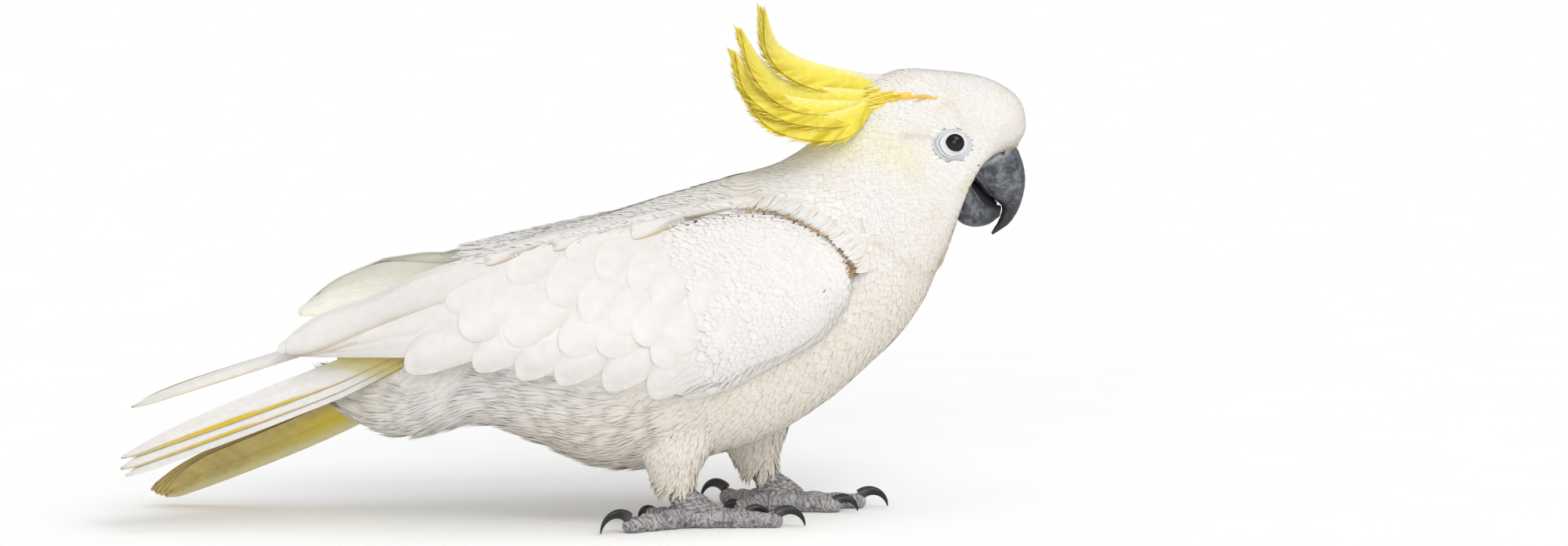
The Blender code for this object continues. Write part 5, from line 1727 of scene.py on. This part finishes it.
def eye_ring(side):
    """Bare skin round the eye: reach runs from the lid's edge out, turn runs round the eye.

    Its outline is an ellipse drawn to a low point behind. Wrinkles are low waves of the reach that fade
    in and out round the ring and are strongest behind and below."""
    reach, turn = net_of(np.linspace(0, 1, 40), whole_turn(120))
    outer = np.stack([10.6 * np.cos(turn) - 0.8, 8.8 * np.sin(turn) - 1.0], axis=-1)
    behind = hump(turn, math.pi * 0.93, 0.45)
    outer = outer + behind[..., None] * np.array([-1.6, 0.5])
    inner = np.stack([IRIS_RADIUS * np.cos(turn), IRIS_RADIUS * np.sin(turn)], axis=-1)
    place = inner + (outer - inner) * reach[..., None]
    ahead, up = EYE[0] + place[..., 0], EYE[2] + place[..., 1]
    skin_side = np.abs(body_side(ahead, up, side, 60)) - 0.2
    lid_side = EYE[1] + math.sqrt(EYE_RADIUS**2 - IRIS_RADIUS**2) + 0.15
    rim = 1.1 * hump(reach, 0.12, 0.10)
    out = lid_side + (skin_side - lid_side) * smooth(reach, 0.08, 0.55) + rim
    folds = 0.28 * np.sin(2 * math.pi * (reach * 4.2 + 0.12 * np.sin(3 * turn))) * smooth(reach, 0.2, 0.4)
    folds = folds * (0.35 + 0.65 * smooth(np.cos(turn - 3.9), -0.2, 0.8)) * smooth(-reach, -1.0, -0.85)
    out = out + folds - 0.8 * smooth(reach, 0.93, 1.0)
    top = np.stack([ahead, out * SIDES[side], up], axis=-1)
    under = top - np.array([0, SIDES[side] * 1.2, 0])
    rows = np.concatenate([top, under[::-1]], axis=0)
    count, around, _ = rows.shape
    i, j = net_of(np.arange(count), np.arange(around))
    k, wrap = (j + 1) % around, (i + 1) % count
    quads = np.stack([i * around + j, i * around + k, wrap * around + k, wrap * around + j], axis=-1)
    quads = quads.reshape(-1, 4)
    points = rows.reshape(-1, 3)
    a, b, c = (points[quads[: around, corner]] for corner in (0, 1, 2))
    if np.cross(b - a, c - a)[:, 1].sum() * SIDES[side] < 0:
        quads = quads[:, ::-1]
    pale, ridge = paint(204, 206, 208), paint(220, 221, 222)
    behind_below = 0.35 + 0.65 * smooth(np.cos(turn - 3.9), -0.3, 0.7)
    tint = mix(pale, ridge, smooth(-reach, -0.42, -0.3))
    # thin dark lines round the ring, strongest behind and below: painted shade in its wrinkles
    tint = mix(tint, paint(96, 99, 106), 0.8 * hump(reach, 0.42, 0.035) * behind_below)
    tint = mix(tint, paint(104, 107, 114), 0.7 * hump(reach, 0.72, 0.03) * behind_below)
    tint = mix(tint, paint(96, 98, 104), 0.8 * smooth(-reach, -0.05, -0.0))
    # painted shade in the troughs of the folds
    tint = mix(tint, paint(150, 154, 162), np.clip(-folds * 2.2, 0, 0.8))
    tint = np.concatenate([tint, tint[::-1]], axis=0).reshape(-1, 3)
    return new_piece(f"eye_ring_{side}", points, [quads], BARE_SKIN, tint)


for side in SIDES:
    globe(side)
    eye_ring(side)

# %% [markdown]
# ## Feet
#
# The feet are grey and leathery, two toes ahead and two behind. Broad scutes cross the top of each toe and
# small scales cover the rest in a net of creases, painted dark as shade. Both are raised a little on the
# rings that make each toe, and only the grain belongs to the finish. Claws are smooth tapering arcs of black
# horn.

# %% Shanks, toes and claws
SHANK = np.array([
    (25, -6, 0, 7, 6.2), (19, -2.5, 0, 9, 6.8), (15, 2, 0, 10.5, 7.4), (9.5, 5.5, 0, 12.5, 8),
    (1.2, 5, 0, 11, 7),
], float)
TOES = {
    "right": ((-142, 24, -3), (-9, 37, -5), (1, 51, 2.5), (150, 37, 2)),
    "left": ((-142, 26, -3), (-9, 38, -5), (1, 51, 2.5), (140, 33, 2)),
}
TOE_RADIUS, TOE_SINK, TOE_BASE = 4.3, 0.7, 1.45
CLAW_LENGTHS, CLAW_ROOT_RADIUS = (13, 16, 20, 23), 3.1
SCALE, CREASE_SHADE = paint(168, 166, 166), paint(100, 96, 96)


def tube_rings(spine, half_deep, half_wide, around):
    """Round rings across a spine, measured upright and sideways."""
    _, deep, wide = blade_axes(spine, 0.0)
    turn = whole_turn(around)[None, :, None]
    return (spine[:, None] + (deep * half_deep[:, None])[:, None] * np.cos(turn)
            + (wide * half_wide[:, None])[:, None] * np.sin(turn))


def scutes(distance, size):
    """1 on a scute and 0 in the crease after it: a flattened hump that repeats along the toe."""
    return np.abs(np.sin(math.pi * distance / size)) ** 0.45


def scale_net(distance, around, count, warp, size):
    """A net of small scales: creases across, stepped from column to column, and creases along."""
    across = scutes(distance + 1.4 * warp, size)
    return across * scutes(around * count + 0.8 * warp, 1.0)


def scaled_piece(name, rings, scute, stands_for):
    """A scaly tube from rings and how far each point stands on a scute; the sole lies flat on the floor."""
    middle = rings.mean(axis=1, keepdims=True)
    rings = middle + (rings - middle) * (1 + 0.06 * (scute - 1))[..., None]
    rings[..., 2] = np.maximum(rings[..., 2], 0.0)
    points, faces = closed_tube(rings)
    # the creases between scutes and scales are painted darker, as painted shade
    tint = mix(CREASE_SHADE, SCALE, smooth(scute, 0.3, 0.85))
    tint = tint * (0.62 + 0.4 * cloud(rings, 1.5) + 0.35 * cloud(rings, 4.5, 3))[..., None]
    new_piece(name, points, faces, FOOT_SKIN, with_poles(tint.reshape(-1, 3)),
              stands_for=stands_for)


def foot_toe(side, number):
    """A toe with padded joints, and where its claw starts and heads."""
    turned_out, length, outward = TOES[side][number]
    turn = math.radians(turned_out)
    heading = np.array([math.cos(turn), SIDES[side] * math.sin(turn), 0])
    middle = np.array([*FOOT_MIDDLE[side], 0]) + (0, SIDES[side] * outward, 0)
    reach = 1 - (1 - np.linspace(0, 1, 72)) ** 1.15
    taper = 1 + (TOE_BASE - 1) * (1 - reach) ** 2
    pads = 1 + 0.08 * np.cos(2 * math.pi * reach * (2.5 + length / 30))
    rounded = np.sqrt(np.clip(1 - (np.clip(reach - 0.9, 0, 1) / 0.104) ** 2, 0.02, 1))
    radius = TOE_RADIUS * taper * pads * rounded
    rise = TOE_RADIUS * taper - TOE_SINK
    spine = middle + heading * (length * reach)[:, None] + np.array([0, 0, 1]) * rise[:, None]
    rings = tube_rings(spine, radius, radius, 36)
    around = np.arange(36)[None, :] / 36
    on_top = smooth(np.cos(2 * math.pi * around), -0.2, 0.5)
    distance = (length * reach)[:, None]
    warp = 5.0 * (cloud(rings, 4.0, 2) - 0.5)
    across_top = scutes(distance + warp, 2.7) * (0.6 + 0.4 * scutes(around * 9 + warp, 1.0))
    net = scale_net(distance + 1.1 * np.round(around * 12), around, 12, warp, 2.2)
    scaled_piece(f"toe_scales_{side}_{number + 1}", rings, across_top * on_top + net * (1 - on_top),
                 [f"toe_{side}_{number + 1}"])
    return spine[-1], heading


def claw(side, number, toe_end, heading):
    """An arc that leaves the toe at 42 degrees up, bends to 85 degrees down and tapers to a point."""
    bend = np.linspace(math.radians(42), math.radians(-85), 48)
    step = CLAW_LENGTHS[number] / len(bend)
    forward = np.cumsum(np.cos(bend)) * step
    rise = np.cumsum(np.sin(bend)) * step
    rise += 0.9 - rise[-1]
    start = toe_end * (1, 1, 0) - heading * 3.4
    spine = start + heading * forward[:, None] + np.array([0, 0, 1]) * rise[:, None]
    radius = CLAW_ROOT_RADIUS * (1 - 0.9 * np.linspace(0, 1, len(bend)) ** 1.3)
    rings = tube_rings(spine, radius, radius * 0.75, 24)
    rings[..., 2] = np.maximum(rings[..., 2], 0.05)
    points, faces = closed_tube(rings)
    reach = np.concatenate([np.linspace(0, 1, len(bend)).repeat(24), [0, 1]])
    tint = mix(paint(70, 68, 70), paint(28, 27, 29), smooth(reach, 0.0, 0.35))
    new_piece(f"claw_horn_{side}_{number + 1}", points, faces, CLAW_HORN, tint,
              stands_for=[f"claw_{side}_{number + 1}"])


for side in SIDES:
    rings = leg_rings(side, SHANK, 60, 48)
    height = rings[..., 2]
    around = np.arange(48)[None, :] / 48
    warp = 2.4 * (cloud(rings, 5.0, 6) - 0.5)
    net = scale_net(height + 1.0 * np.round(around * 14), around, 14, warp, 2.1)
    scaled_piece(f"shank_scales_{side}", rings, net, [f"shank_{side}"])
    for number in range(4):
        claw(side, number, *foot_toe(side, number))
